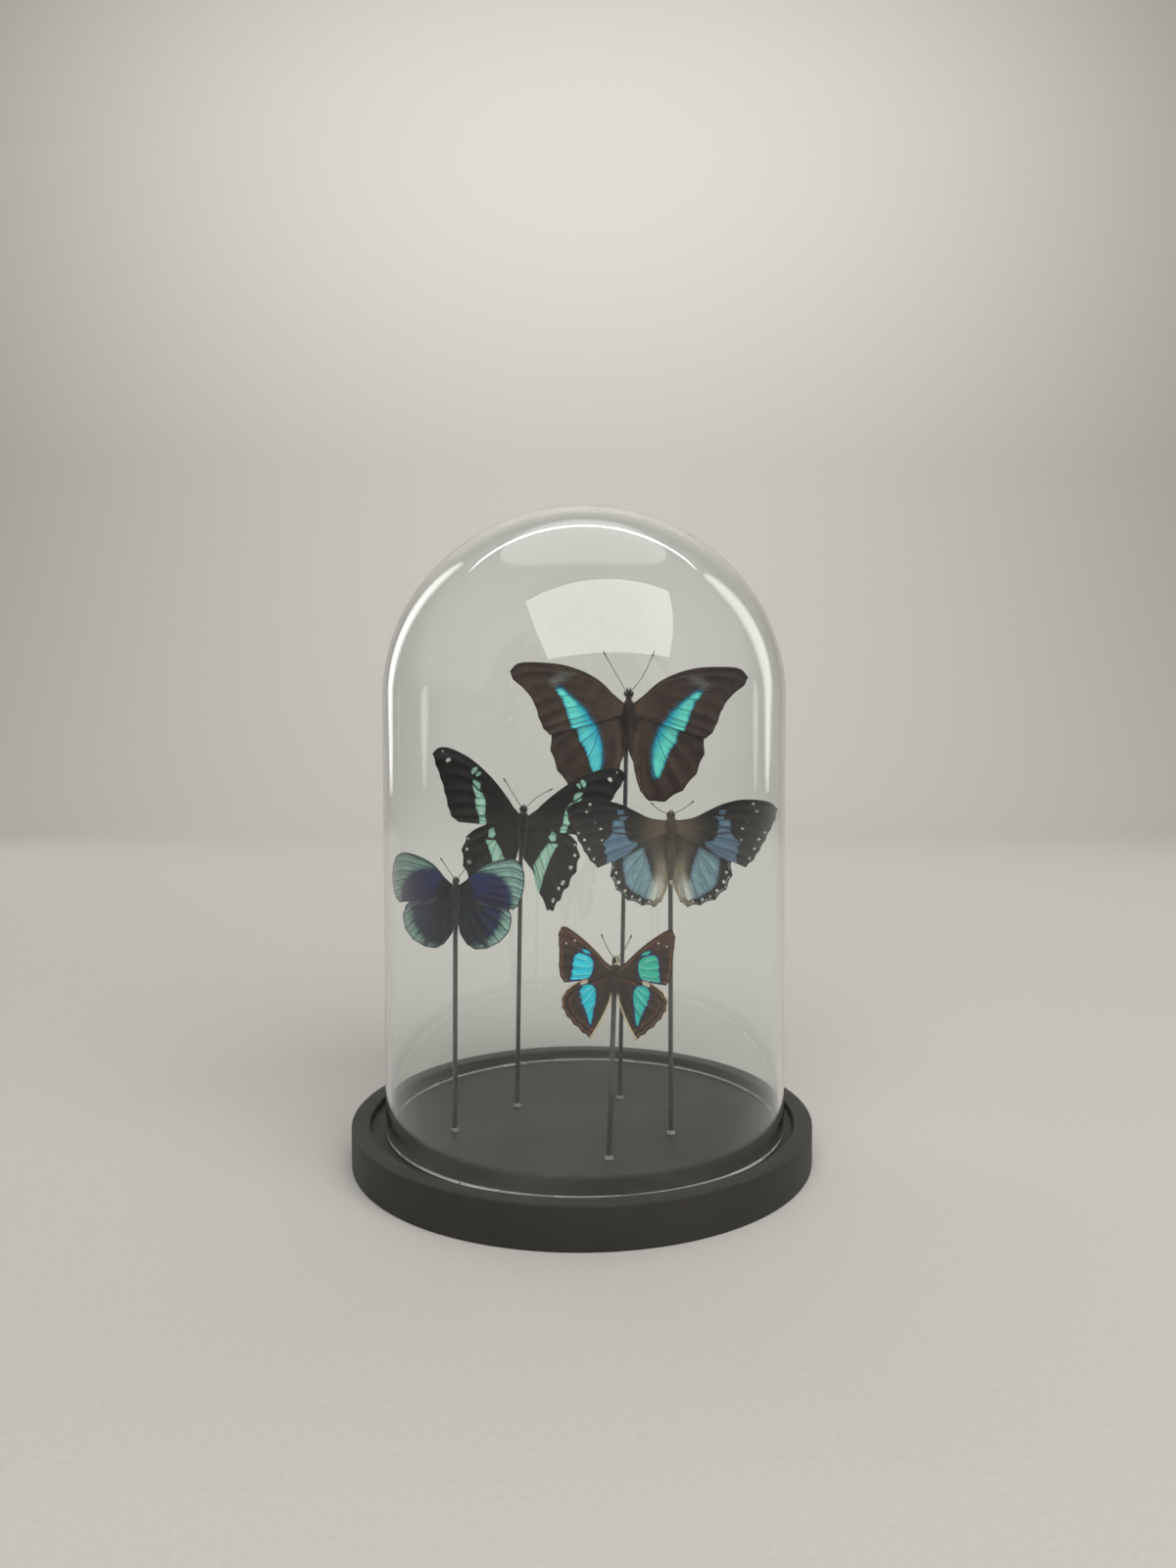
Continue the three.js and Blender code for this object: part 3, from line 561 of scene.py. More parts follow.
def apply_modifier(piece, kind, **settings):
    """Adds a modifier with its settings and applies it."""
    pick(piece)
    modifier = piece.modifiers.new(kind.title(), kind)
    for name, value in settings.items():
        setattr(modifier, name, value)
    bpy.ops.object.modifier_apply(modifier=modifier.name)


def join(pieces, name):
    """Joins pieces into the first one."""
    deselect()
    for piece in pieces:
        piece.select_set(True)
    bpy.context.view_layer.objects.active = pieces[0]
    bpy.ops.object.join()
    pieces[0].name = name
    pieces[0].data.name = name
    return pieces[0]


def smooth_by_angle(piece, degrees):
    """Shades smooth, with edges sharper than the angle kept."""
    pick(piece)
    bpy.ops.object.shade_smooth_by_angle(angle=math.radians(degrees))


def give_materials(piece, materials, index=0):
    """Gives a piece these materials in place of any others, and all its faces the one with this index."""
    piece.data.materials.clear()
    for material in materials:
        piece.data.materials.append(material)
    piece.data.polygons.foreach_set("material_index", [index] * len(piece.data.polygons))


def seat(piece, material, slot, *nodes):
    """Gives a finished piece its material and its body, and hides the nodes that it stands for. Its finish
    slot is not used.
    """
    if material is not None:
        give_materials(piece, [material])
    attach(piece, ROOT_BODY)
    if nodes:
        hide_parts(*nodes)


def smooth_curve(points, places):
    """Points of a Catmull-Rom curve through the knots, at places from 0 to 1, even in knots."""
    knots = np.array(points, float)
    run = np.vstack([2 * knots[0] - knots[1], knots, 2 * knots[-1] - knots[-2]])
    along = np.clip(np.asarray(places, float), 0, 1) * (len(knots) - 1)
    i = np.minimum(along.astype(int), len(knots) - 2)
    w = (along - i)[..., None]
    a, b, c, d = run[i], run[i + 1], run[i + 2], run[i + 3]
    return 0.5 * (2 * b + (c - a) * w + (2 * a - 5 * b + 4 * c - d) * w**2 + (3 * b - a - 3 * c + d) * w**3)


def insect_matrix(insect):
    """Takes a point in millimetres from the thorax centre to its place in the frame, in metres."""
    ahead_of_rod = insect["thorax"][1] + ROD_GAP + sizes().rod_radius / MM
    centre = Vector((insect["centre"][0], insect["foot"][1] - ahead_of_rod, insect["centre"][1]))
    yaw = Matrix.Rotation(math.radians(insect["yaw"]), 4, "Z")
    turn = yaw @ Matrix.Rotation(math.radians(insect["roll"]), 4, "Y")
    return Matrix.Scale(MM, 4) @ Matrix.Translation(centre) @ turn


def wing_turn(insect, kind, side):
    """Turns a wing from its own plane to its set on the body. side is 1 on the right and -1 on the left."""
    swing = insect["swing"]["right" if side > 0 else "left"][0 if kind == "forewing" else 1]
    turn = Matrix.Rotation(math.radians(-side * insect["dihedral"]), 4, "Z")
    return turn @ Matrix.Rotation(math.radians(-side * swing), 4, "Y")


# ---- the wings ----
def wing_plane(wing, share, reach):
    """Points of a wing in its own plane, in millimetres: the same patch between its edges as the solid's."""
    costa, margin, inner = wing["costa"], wing["margin"], wing["inner"]
    outer = smooth_curve(margin, share)
    outward = outer - smooth_curve(costa, 0.0)
    outward /= np.linalg.norm(outward, axis=-1, keepdims=True)
    hollow = wing["notch"] * np.abs(np.sin(math.pi * share * SCALLOPS))
    outer -= outward * hollow[..., None]
    s = share[..., None]
    chord = (1 - s) * smooth_curve(margin, 0.0) + s * smooth_curve(margin, 1.0)
    between = (1 - s) * smooth_curve(costa, reach) + s * smooth_curve(inner, reach)
    return between + reach[..., None] * (outer - chord)


def line_distance(points, lines):
    """Distance in millimetres from each point to the nearest of several open lines."""
    nearest = np.full(len(points), 1e3)
    for line in lines:
        for a, b in zip(line[:-1], line[1:]):
            run = b - a
            place = np.clip(((points - a) @ run) / max(run @ run, 1e-9), 0, 1)
            nearest = np.minimum(nearest, np.linalg.norm(points - a - place[:, None] * run, axis=1))
    return nearest


def outline_depth(points, outline):
    """Distance in millimetres from each point to a closed outline, positive inside it."""
    a = np.array(outline, float)
    b = np.roll(a, -1, axis=0)
    gap = line_distance(points, [np.vstack([a, a[:1]])])
    x, z = points[:, :1], points[:, 1:]
    steep = np.where(b[:, 1] == a[:, 1], 1e-9, b[:, 1] - a[:, 1])
    passes = ((a[:, 1] > z) != (b[:, 1] > z)) & (x < a[:, 0] + (z - a[:, 1]) * (b[:, 0] - a[:, 0]) / steep)
    return np.where(passes.sum(axis=1) % 2 == 1, gap, -gap)


def mark_depth(points, marks):
    """How deep each point lies in a marking made of outlines or of round spots."""
    depth = np.full(len(points), -1e3)
    for mark in marks:
        if len(mark) == 3 and not isinstance(mark[0], tuple):
            x, z, radius = mark
            depth = np.maximum(depth, radius - np.hypot(points[:, 0] - x, points[:, 1] - z))
        else:
            depth = np.maximum(depth, outline_depth(points, mark))
    return depth


def wing_lines(wing, fore):
    """The veins, the folds midway between them and the wing's edges, as lines in the wing's plane."""
    along = np.linspace(0, 1, 25)
    veins = []
    for line in FOREWING_VEINS if fore else HINDWING_VEINS:
        fan = smooth_curve(line, along)
        veins.append(wing_plane(wing, fan[:, 0], fan[:, 1]))
    outer = np.linspace(0.5, 1, 12)
    folds = [wing_plane(wing, np.full_like(outer, (k + 0.5) / SCALLOPS), outer) for k in range(SCALLOPS)]
    fine = np.linspace(0, 1, 121)
    edges = {
        "costa": wing_plane(wing, np.zeros_like(fine), fine),
        "margin": wing_plane(wing, fine, np.ones_like(fine)),
        "inner": wing_plane(wing, np.ones_like(fine), fine),
    }
    return veins, folds, edges


def wing_attributes(wing, points, fore, green):
    """What the coat's layers read at each point of a wing, by name, in millimetres."""
    veins, folds, edges = wing_lines(wing, fore)
    found = {
        "vein": line_distance(points, veins),
        "fold": line_distance(points, folds),
        "edge": line_distance(points, [edges["costa"], edges["margin"]]),
        "inner": line_distance(points, [edges["inner"]]),
        "root": np.linalg.norm(points, axis=1),
        "hind": np.full(len(points), 0.0 if fore else 1.0),
        "height": points[:, 1],
        # The share of painted iridescent green, the same all over one wing.
        "green": np.full(len(points), green),
    }
    for name, marks in wing["marks"].items():
        found[name] = mark_depth(points, marks)
    return found


def wing_span(insect):
    """From the thorax centre out to the forewing's tip, in millimetres."""
    return max(x for x, _ in insect["forewing"]["costa"])


def wing_relief(insect, kind, side, share, reach, points, from_inner):
    """Where a wing's points lie outwards and in depth, in millimetres from the thorax centre.

    The wing is bowed along its span, pleated outside its cell with the veins as crests, and warped a little,
    each wing in its own way. Its root runs into the thorax.
    """
    fore = kind == "forewing"
    part = np.clip(points[:, 0] / wing_span(insect), 0, 1)
    depth = -(FOREWING_LIFT if fore else HINDWING_LIFT) - 4 * insect["bow"] * part * (1 - part)
    rise = np.clip((reach - 0.25) / 0.45, 0, 1)
    crest = (0.6 if fore else 1.0) * sizes().corrugation / MM
    depth -= crest * np.cos(2 * math.pi * SCALLOPS * share) * rise * rise * (3 - 2 * rise)
    phase = insect["foot"][0] * 0.7 + (0 if fore else 2.1) + (0 if side > 0 else 1.3)
    warp = 0.22
    depth += warp * np.sin(points[:, 0] / 5.5 + phase) * np.sin(points[:, 1] / 6.5 + 1.7 * phase) * part
    root_overlap = 1.2
    x = points[:, 0] - root_overlap * np.clip(1 - reach / 0.08, 0, 1)
    if not fore:
        # The hindwing's inner edge is tucked behind the abdomen.
        girth, tail = insect["abdomen"]
        beside = np.clip(-points[:, 1] / 5, 0, 1) * np.clip((points[:, 1] - 1.15 * tail) / 5, 0, 1)
        tuck = np.clip((4 - from_inner) / 4, 0, 1) ** 2 * beside
        behind = (insect["thorax"][1] - girth) / 2 + 0.8 * girth + 0.25
        depth += tuck * (behind + HINDWING_LIFT)
        x -= tuck * (insect[kind]["inner"][1][0] - 1.0)
    return x, depth


def build_wing(name, insect, kind, side_name, coats):
    """One wing: a grid laid on the wing's patch, ridged along its veins and given its thickness.

    coats are the materials of the upper and the under side.
    """
    side = 1 if side_name == "right" else -1
    fore = kind == "forewing"
    wing = insect[kind]
    s = sizes()
    # The margin is up to 1.25 spans long, and it lies some 0.9 spans from the root.
    faces_a_span = wing_span(insect) / (s.wing_mesh / MM)
    columns = SCALLOPS * max(8, round(1.25 * faces_a_span / SCALLOPS))
    rows = max(20, round(0.9 * faces_a_span))
    deselect()
    bpy.ops.mesh.primitive_grid_add(x_subdivisions=columns, y_subdivisions=rows, size=2)
    piece = new_piece(f"{name}_{side_name}_{kind}_scaled")
    mesh = piece.data
    grid = np.zeros(len(mesh.vertices) * 3)
    mesh.vertices.foreach_get("co", grid)
    share, reach = (grid.reshape(-1, 3)[:, :2].T + 1) / 2
    points = wing_plane(wing, share, reach)
    # Painted iridescent sheen: only the right wings take a share of painted green.
    green = PAINTED_SHEEN_GREEN.get(name, (0.0, 0.0))[0 if fore else 1] if side > 0 else 0.0
    found = wing_attributes(wing, points, fore, green)
    x, depth = wing_relief(insect, kind, side, share, reach, points, found["inner"])
    mesh.vertices.foreach_set("co", np.stack([side * x, depth, points[:, 1]], axis=1).ravel())

    for attribute_name, values in found.items():
        attribute = mesh.attributes.new(attribute_name, "FLOAT", "POINT")
        attribute.data.foreach_set("value", values.astype(np.float32))
    fan = mesh.uv_layers[0]
    fan.name = FAN_UV
    corners = np.zeros(len(mesh.loops), dtype=int)
    mesh.loops.foreach_get("vertex_index", corners)
    fan.data.foreach_set("uv", np.stack([share * SCALLOPS, reach], axis=1)[corners].ravel())
    ridge = piece.vertex_groups.new(name="ridge")
    vein_width = 0.28
    for i, gap in enumerate(np.minimum(found["vein"], found["edge"] + 0.1)):
        ridge.add([i], float(np.exp(-((gap / vein_width) ** 2))), "REPLACE")
    if side < 0:
        pick(piece)
        bpy.ops.object.mode_set(mode="EDIT")
        bpy.ops.mesh.select_all(action="SELECT")
        bpy.ops.mesh.flip_normals()
        bpy.ops.object.mode_set(mode="OBJECT")
    # The under coat is in its slot before the wall is made, because the wall's far side counts slots.
    give_materials(piece, coats)
    apply_modifier(piece, "SOLIDIFY", thickness=s.vein_thickness / MM, offset=0, vertex_group="ridge",
                   thickness_vertex_group=s.membrane_thickness / s.vein_thickness,
                   use_even_offset=False, use_rim=True, material_offset=1, material_offset_rim=0)
    piece.vertex_groups.clear()
    mesh.transform(insect_matrix(insect) @ wing_turn(insect, kind, side))
    pick(piece)
    bpy.ops.object.shade_smooth()
    return piece


def wing_material(name, coat, marks):
    """Butterfly wing scales, laid like roof tiles: matt and dusty, a little silky across the light."""
    material, tree = new_material(name)
    place = add_node(tree, "ShaderNodeTexCoord").outputs["Object"]
    fan = add_node(tree, "ShaderNodeUVMap", uv_map=FAN_UV)
    # Streaks of scales run out along the veins, about 0.5 mm wide.
    along = add_node(tree, "ShaderNodeMapping", {"Vector": fan, "Scale": (9, 7, 1)})
    streaks = add_node(tree, "ShaderNodeTexNoise", {"Vector": along, "Scale": 1.0, "Detail": 3.0})
    centred = add_node(tree, "ShaderNodeMath", {0: streaks, 1: 0.5}, operation="SUBTRACT")
    # Tone drifts over some 4 mm, and single scales, drawn at 0.3 mm so that they show, differ a little.
    drift = add_node(tree, "ShaderNodeTexNoise", {"Vector": place, "Scale": 1 / (4 * MM), "Detail": 2.0})
    tiles = add_node(tree, "ShaderNodeTexNoise", {"Vector": place, "Scale": 1 / (0.3 * MM), "Detail": 1.0})
    dark, light = coat["ground"]
    drifted = add_node(tree, "ShaderNodeMapRange", {"Value": drift, "From Min": 0.28, "From Max": 0.72})
    colour = add_node(tree, "ShaderNodeMix", {0: drifted, 6: linear(dark), 7: linear(light)},
                      data_type="RGBA").outputs[2]
    values = {}
    for layer_colour, strength, ragged, conditions in coat["layers"]:
        if any(attribute not in marks for attribute, _, _ in conditions):
            continue
        mask = strength
        for attribute, start, full in conditions:
            if attribute not in values:
                reader = add_node(tree, "ShaderNodeAttribute", attribute_name=attribute)
                values[attribute] = reader.outputs["Fac"]
            value = values[attribute]
            if ragged:
                value = add_node(tree, "ShaderNodeMath", {0: centred, 1: 4 * ragged, 2: value},
                                 operation="MULTIPLY_ADD")
            step = add_node(tree, "ShaderNodeMapRange", {"Value": value, "From Min": start, "From Max": full},
                            interpolation_type="SMOOTHSTEP")
            mask = add_node(tree, "ShaderNodeMath", {0: step, 1: mask}, operation="MULTIPLY")
        colour = add_node(tree, "ShaderNodeMix", {0: mask, 6: colour, 7: linear(layer_colour)},
                          data_type="RGBA").outputs[2]
    tone = add_node(tree, "ShaderNodeMath", {0: tiles, 1: streaks}, operation="ADD")
    shade = add_node(tree, "ShaderNodeMapRange", {
        "Value": tone, "From Min": 0.7, "From Max": 1.3, "To Min": 0.74, "To Max": 1.24})
    colour = add_node(tree, "ShaderNodeHueSaturation", {"Value": shade, "Color": colour})
    bump = add_node(tree, "ShaderNodeBump", {"Height": tiles, "Strength": 0.35, "Distance": 0.06 * MM})
    shader = add_node(tree, "ShaderNodeBsdfPrincipled", {
        "Base Color": colour, "Roughness": 0.62, "IOR": 1.5, "Specular IOR Level": 0.25, "Sheen Weight": 0.06,
        "Sheen Roughness": 0.45, "Normal": bump})
    add_node(tree, "ShaderNodeOutputMaterial", {"Surface": shader})
    return material


# ---- the bodies ----
def lump(name, centre, half, rings=18):
    """An ellipsoid by its centre and its half size, in millimetres from the thorax centre."""
    deselect()
    bpy.ops.mesh.primitive_uv_sphere_add(segments=28, ring_count=rings, radius=1, location=centre, scale=half)
    return new_piece(name)


def strand(name, points, radii, samples=20):
    """A tube through points with a radius at each, closed at both ends, in millimetres."""
    deselect()
    bpy.ops.curve.primitive_nurbs_path_add()
    curve = bpy.context.object
    curve.name = name
    curve.data.splines.clear()
    spline = curve.data.splines.new("POLY")
    places = np.linspace(0, 1, samples)
    route = smooth_curve(points, places)
    widths = np.interp(places, np.linspace(0, 1, len(radii)), radii)
    spline.points.add(samples - 1)
    for point, spot, width in zip(spline.points, route, widths):
        point.co = (*spot, 1)
        point.radius = width
    curve.data.bevel_depth = 1
    curve.data.bevel_resolution = 2
    curve.data.use_fill_caps = True
    curve.data.twist_mode = "MINIMUM"
    bpy.ops.object.convert(target="MESH")
    return bpy.context.object


def abdomen(insect):
    """The ringed hind body, tapered to its tip and kept level with the thorax's underside."""
    _, deep, long = insect["thorax"]
    girth, tail = insect["abdomen"]
    waist = -long * 0.55
    body_rings = 8
    piece = lump("abdomen", (0, 0, 0), (1, 1, 1), rings=9 * body_rings)
    for vertex in piece.data.vertices:
        place = (1 - vertex.co.z) / 2
        angle = math.atan2(vertex.co.y, vertex.co.x)
        swell = math.sin(math.pi * min(1, place * 1.04 + 0.06) ** 0.72) ** 0.62
        ring = abs(math.sin(math.pi * body_rings * place)) ** 0.35
        radius = girth * max(swell, 0.02) * (0.93 + 0.07 * ring)
        if place in (0, 1):
            radius = 0
        vertex.co = (radius * math.cos(angle), (deep - girth) / 2 + radius * math.sin(angle),
                     waist + (tail - waist) * place)
    return piece


def fur(name, insect, rng):
    """Hairs combed back over thorax, head and the first part of the abdomen, and out over the wing roots."""
    wide, deep, long = insect["thorax"]
    head_radius, head_height = insect["head"]
    girth, tail = insect["abdomen"]
    length = sizes().hair_length / MM
    roots, ways, lengths = [], [], []
    # Centre, half size, number of hairs and share of the usual length.
    pelts = [
        ((0, 0, 0), (wide, deep, long), 950, 1.0),
        ((0, (deep - head_radius) / 2, head_height), (head_radius, head_radius, head_radius), 160, 0.5),
        ((0, (deep - girth) / 2, tail * 0.35), (girth, girth, -tail * 0.35), 420, 0.55),
    ]
    for centre, half, count, share in pelts:
        direction = rng.normal(size=(count, 3))
        direction /= np.linalg.norm(direction, axis=1, keepdims=True)
        half = np.array(half)
        roots.append(np.array(centre) + direction * half * 0.96)
        normal = direction / half
        normal /= np.linalg.norm(normal, axis=1, keepdims=True)
        lay = normal * 0.55 + np.array([0, 0, -0.75]) + rng.normal(scale=0.22, size=(count, 3))
        ways.append(lay / np.linalg.norm(lay, axis=1, keepdims=True))
        lengths.append(rng.uniform(0.6, 1.25, count) * length * share)
    for kind, lift in (("forewing", FOREWING_LIFT), ("hindwing", HINDWING_LIFT)):
        for side in (-1, 1):
            count = 75
            spots = wing_plane(insect[kind], rng.uniform(0.08, 0.92, count), rng.uniform(0.0, 0.16, count))
            turn = np.array(wing_turn(insect, kind, side).to_3x3())
            root = np.stack([side * (spots[:, 0] - 0.6), np.full(count, -lift - 0.15), spots[:, 1]], axis=1)
            lay = np.stack([np.full(count, side * 0.75), np.full(count, -0.12),
                            rng.normal(-0.35, 0.25, count)], axis=1)
            roots.append(root @ turn.T)
            ways.append((lay / np.linalg.norm(lay, axis=1, keepdims=True)) @ turn.T)
            lengths.append(rng.uniform(0.6, 1.4, count) * length)
    return spikes(name, np.vstack(roots), np.vstack(ways), np.concatenate(lengths), rng)


def spikes(name, root, lay, long, rng):
    """Three-sided spikes that bend and droop, each by its root, the way it lies and its length, as one piece.

    They are written as vertices, because no primitive gives thousands of separate ones.
    """
    across = np.cross(lay, rng.normal(size=lay.shape))
    across /= np.linalg.norm(across, axis=1, keepdims=True)
    other = np.cross(lay, across)
    droop = np.array([0, 0, -0.18])
    root_radius, middle_radius = 0.055, 0.04
    vertices, faces = [], []
    for i in range(len(root)):
        first = len(vertices)
        middle = root[i] + lay[i] * long[i] * 0.55
        for spot, radius in ((root[i], root_radius), (middle, middle_radius)):
            for k in range(3):
                angle = 2 * math.pi * k / 3
                vertices.append(spot + radius * (math.cos(angle) * across[i] + math.sin(angle) * other[i]))
        vertices.append(root[i] + (lay[i] + droop) * long[i])
        for k in range(3):
            j = (k + 1) % 3
            faces.append((first + k, first + j, first + 3 + j, first + 3 + k))
            faces.append((first + 3 + k, first + 3 + j, first + 6))
        faces.append((first + 2, first + 1, first))
    mesh = bpy.data.meshes.new(name)
    mesh.from_pydata([tuple(v) for v in vertices], [], faces)
    piece = bpy.data.objects.new(name, mesh)
    bpy.context.scene.collection.objects.link(piece)
    return piece


def build_body(name, insect):
    """Head with eyes and palps, thorax, ringed abdomen, feelers and folded legs, joined in one piece."""
    wide, deep, long = insect["thorax"]
    head_radius, head_height = insect["head"]
    depth = (deep - head_radius) / 2
    r = head_radius
    parts = [
        (lump("thorax", (0, 0, 0), (wide, deep, long * 1.02)), FUR),
        (lump("neck", (0, depth * 0.6, (long * 0.9 + head_height - r) / 2),
              (r * 0.7, r * 0.7, r * 1.2)), FUR),
        (lump("head", (0, depth, head_height), (r * 0.92, r * 0.9, r * 0.88)), FUR),
    ]
    hind_body = abdomen(insect)
    parts.append((hind_body, FUR))
    for side in (-1, 1):
        path = [(side * 0.3 * r, depth - 0.1 * r, head_height + 0.5 * r),
                (side * 0.38 * r, depth - 0.3 * r, head_height + 1.05 * r),
                (side * 0.26 * r, depth - 0.35 * r, head_height + 1.6 * r)]
        parts.append((strand("palp", path, [0.24 * r, 0.28 * r, 0.07 * r], samples=9), FUR))
    for side in (-1, 1):
        centre = (side * 0.66 * r, depth - 0.12 * r, head_height + 0.12 * r)
        parts.append((lump("eye", centre, (0.56 * r, 0.66 * r, 0.7 * r)), EYE))
    thin, club = 0.15, 0.36
    for route in insect["antennae"].values():
        tube = smooth_curve([(x, depth, z) for x, z in route], np.linspace(0, 1, 21))
        radii = [thin] * 17 + [thin * 1.15, club * 0.75, club, club * 0.35]
        parts.append((strand("feeler", tube, radii, samples=48), HORN))
    for pair in range(insect["leg_pairs"]):
        z = long * (0.35 - pair * 0.45)
        for side in (-1, 1):
            path = [(side * wide * 0.6, deep * 0.45, z), (side * (wide + 1.3), deep + 1.2, z - 0.4),
                    (side * (wide + 1.0), deep + 1.9, z - long * 0.7),
                    (side * (wide + 0.6), deep + 1.1, z - long * 1.3),
                    (side * (wide + 0.2), deep + 0.9, z - long * 1.5)]
            parts.append((strand("leg", path, [0.2, 0.26, 0.2, 0.16, 0.12, 0.1, 0.08], samples=22), HORN))
    for route in insect.get("tongue", []):
        parts.append((strand("tongue", route, [0.1, 0.24, 0.34, 0.2], samples=14), PALE))
    for part, index in parts:
        give_materials(part, body_materials(name), index)
    for face in hind_body.data.polygons:
        if face.center.z < insect["abdomen"][1] + insect.get("pale_tail", 0):
            face.material_index = PALE
    piece = join([part for part, _ in parts], f"{name}_body_haired")
    piece.data.transform(insect_matrix(insect))
    smooth_by_angle(piece, 60)
    return piece


def body_materials(name):
    """Short fur, a dull compound eye, dry brown horn and pale scales, made once for each butterfly."""
    wanted = (f"{name} short fur", f"{name} compound eye", f"{name} dry chitin", f"{name} pale scales")
    if wanted[0] in bpy.data.materials:
        return [bpy.data.materials[n] for n in wanted]
    fur_colour, belly_colour, horn_colour = BODY_COLOURS[name]
    made = []
    material, tree = new_material(wanted[0])
    place = add_node(tree, "ShaderNodeTexCoord").outputs["Object"]
    # Tufts some 0.8 mm across, drawn out along the body as combed fur lies.
    combed = add_node(tree, "ShaderNodeMapping", {"Vector": place, "Scale": (1, 1, 0.3)})
    tufts = add_node(tree, "ShaderNodeTexNoise", {"Vector": combed, "Scale": 1 / (0.8 * MM), "Detail": 4.0})
    spread = add_node(tree, "ShaderNodeMapRange", {"Value": tufts, "From Min": 0.35, "From Max": 0.65})
    colour = add_node(tree, "ShaderNodeMix", {0: spread, 6: linear(belly_colour), 7: linear(fur_colour)},
                      data_type="RGBA").outputs[2]
    bump = add_node(tree, "ShaderNodeBump", {"Height": tufts, "Strength": 0.6, "Distance": 0.15 * MM})
    shader = add_node(tree, "ShaderNodeBsdfPrincipled", {
        "Base Color": colour, "Roughness": 0.85, "Specular IOR Level": 0.25, "Sheen Weight": 0.3,
        "Normal": bump})
    add_node(tree, "ShaderNodeOutputMaterial", {"Surface": shader})
    made.append(material)
    for label, shade, rough, coat in ((wanted[1], "#1a1411", 0.22, 0.3), (wanted[2], horn_colour, 0.5, 0.0),
                                      (wanted[3], "#d8cfb0", 0.7, 0.0)):
        material, tree = new_material(label)
        place = add_node(tree, "ShaderNodeTexCoord").outputs["Object"]
        # Facets and pores, drawn at 0.15 mm.
        cells = add_node(tree, "ShaderNodeTexVoronoi", {"Vector": place, "Scale": 1 / (0.15 * MM)})
        tone = add_node(tree, "ShaderNodeMapRange", {"Value": cells, "To Min": 0.85, "To Max": 1.3})
        colour = add_node(tree, "ShaderNodeHueSaturation", {"Value": tone, "Color": linear(shade)})
        bump = add_node(tree, "ShaderNodeBump", {"Height": cells, "Strength": 0.3, "Distance": 0.02 * MM})
        shader = add_node(tree, "ShaderNodeBsdfPrincipled", {
            "Base Color": colour, "Roughness": rough, "Coat Weight": coat, "Normal": bump})
        add_node(tree, "ShaderNodeOutputMaterial", {"Surface": shader})
        made.append(material)
    return made


# ---- base, dome and rods ----
def painted_board():
    """Fibreboard sprayed satin black: an even, soft shine with faint orange peel and a little dust."""
    material, tree = new_material("satin black painted board")
    place = add_node(tree, "ShaderNodeTexCoord").outputs["Object"]
    # Orange peel about 1.2 mm from crest to crest; the spray's grain is drawn at 0.5 mm so that it shows.
    peel = add_node(tree, "ShaderNodeTexNoise", {"Vector": place, "Scale": 1 / (1.2 * MM), "Detail": 2.0})
    grain = add_node(tree, "ShaderNodeTexNoise", {"Vector": place, "Scale": 1 / (0.5 * MM), "Detail": 3.0})
    cloud = add_node(tree, "ShaderNodeTexNoise", {"Vector": place, "Scale": 1 / (38 * MM), "Detail": 3.0})
    # Dust lies thinly on the upward faces, in specks some 0.4 mm across and 3 mm apart.
    specks = add_node(tree, "ShaderNodeTexVoronoi", {"Vector": place, "Scale": 1 / (3.0 * MM)})
    speck = add_node(tree, "ShaderNodeMapRange", {"Value": specks, "From Min": 0.085, "From Max": 0.05})
    facing = add_node(tree, "ShaderNodeNewGeometry").outputs["Normal"]
    upward = add_node(tree, "ShaderNodeSeparateXYZ", {0: facing}).outputs["Z"]
    settled = add_node(tree, "ShaderNodeMath", {0: speck, 1: upward}, operation="MULTIPLY", use_clamp=True)
    dusty = add_node(tree, "ShaderNodeMapRange", {
        "Value": cloud, "From Min": 0.42, "From Max": 0.7, "To Max": 0.55})
    settled = add_node(tree, "ShaderNodeMath", {0: settled, 1: dusty}, operation="MULTIPLY")
    paint = linear(sizes().board_colour)
    film = add_node(tree, "ShaderNodeMix", {0: cloud, 6: paint, 7: linear("#33312e")},
                    data_type="RGBA").outputs[2]
    colour = add_node(tree, "ShaderNodeMix", {0: settled, 6: film, 7: linear("#8f8b84")},
                      data_type="RGBA").outputs[2]
    rough = add_node(tree, "ShaderNodeMapRange", {
        "Value": cloud, "From Min": 0.3, "From Max": 0.7, "To Min": 0.46, "To Max": 0.6})
    relief = add_node(tree, "ShaderNodeMath", {0: peel, 1: grain}, operation="ADD")
    bump = add_node(tree, "ShaderNodeBump", {"Height": relief, "Strength": 0.25, "Distance": 0.06 * MM})
    shader = add_node(tree, "ShaderNodeBsdfPrincipled", {
        "Base Color": colour, "Roughness": rough, "Specular IOR Level": 0.3, "Normal": bump})
    add_node(tree, "ShaderNodeOutputMaterial", {"Surface": shader})
    return material


def blown_glass():
    """Clear soda-lime glass, blown and left smooth: seen by its reflections and its thick-looking edges."""
    material, tree = new_material("clear blown soda-lime glass")
    shader = add_node(tree, "ShaderNodeBsdfPrincipled", {
        "Base Color": linear("#fdfffe"), "Roughness": 0.0, "IOR": 1.46, "Transmission Weight": 1.0})
    add_node(tree, "ShaderNodeOutputMaterial", {"Surface": shader})
    return material


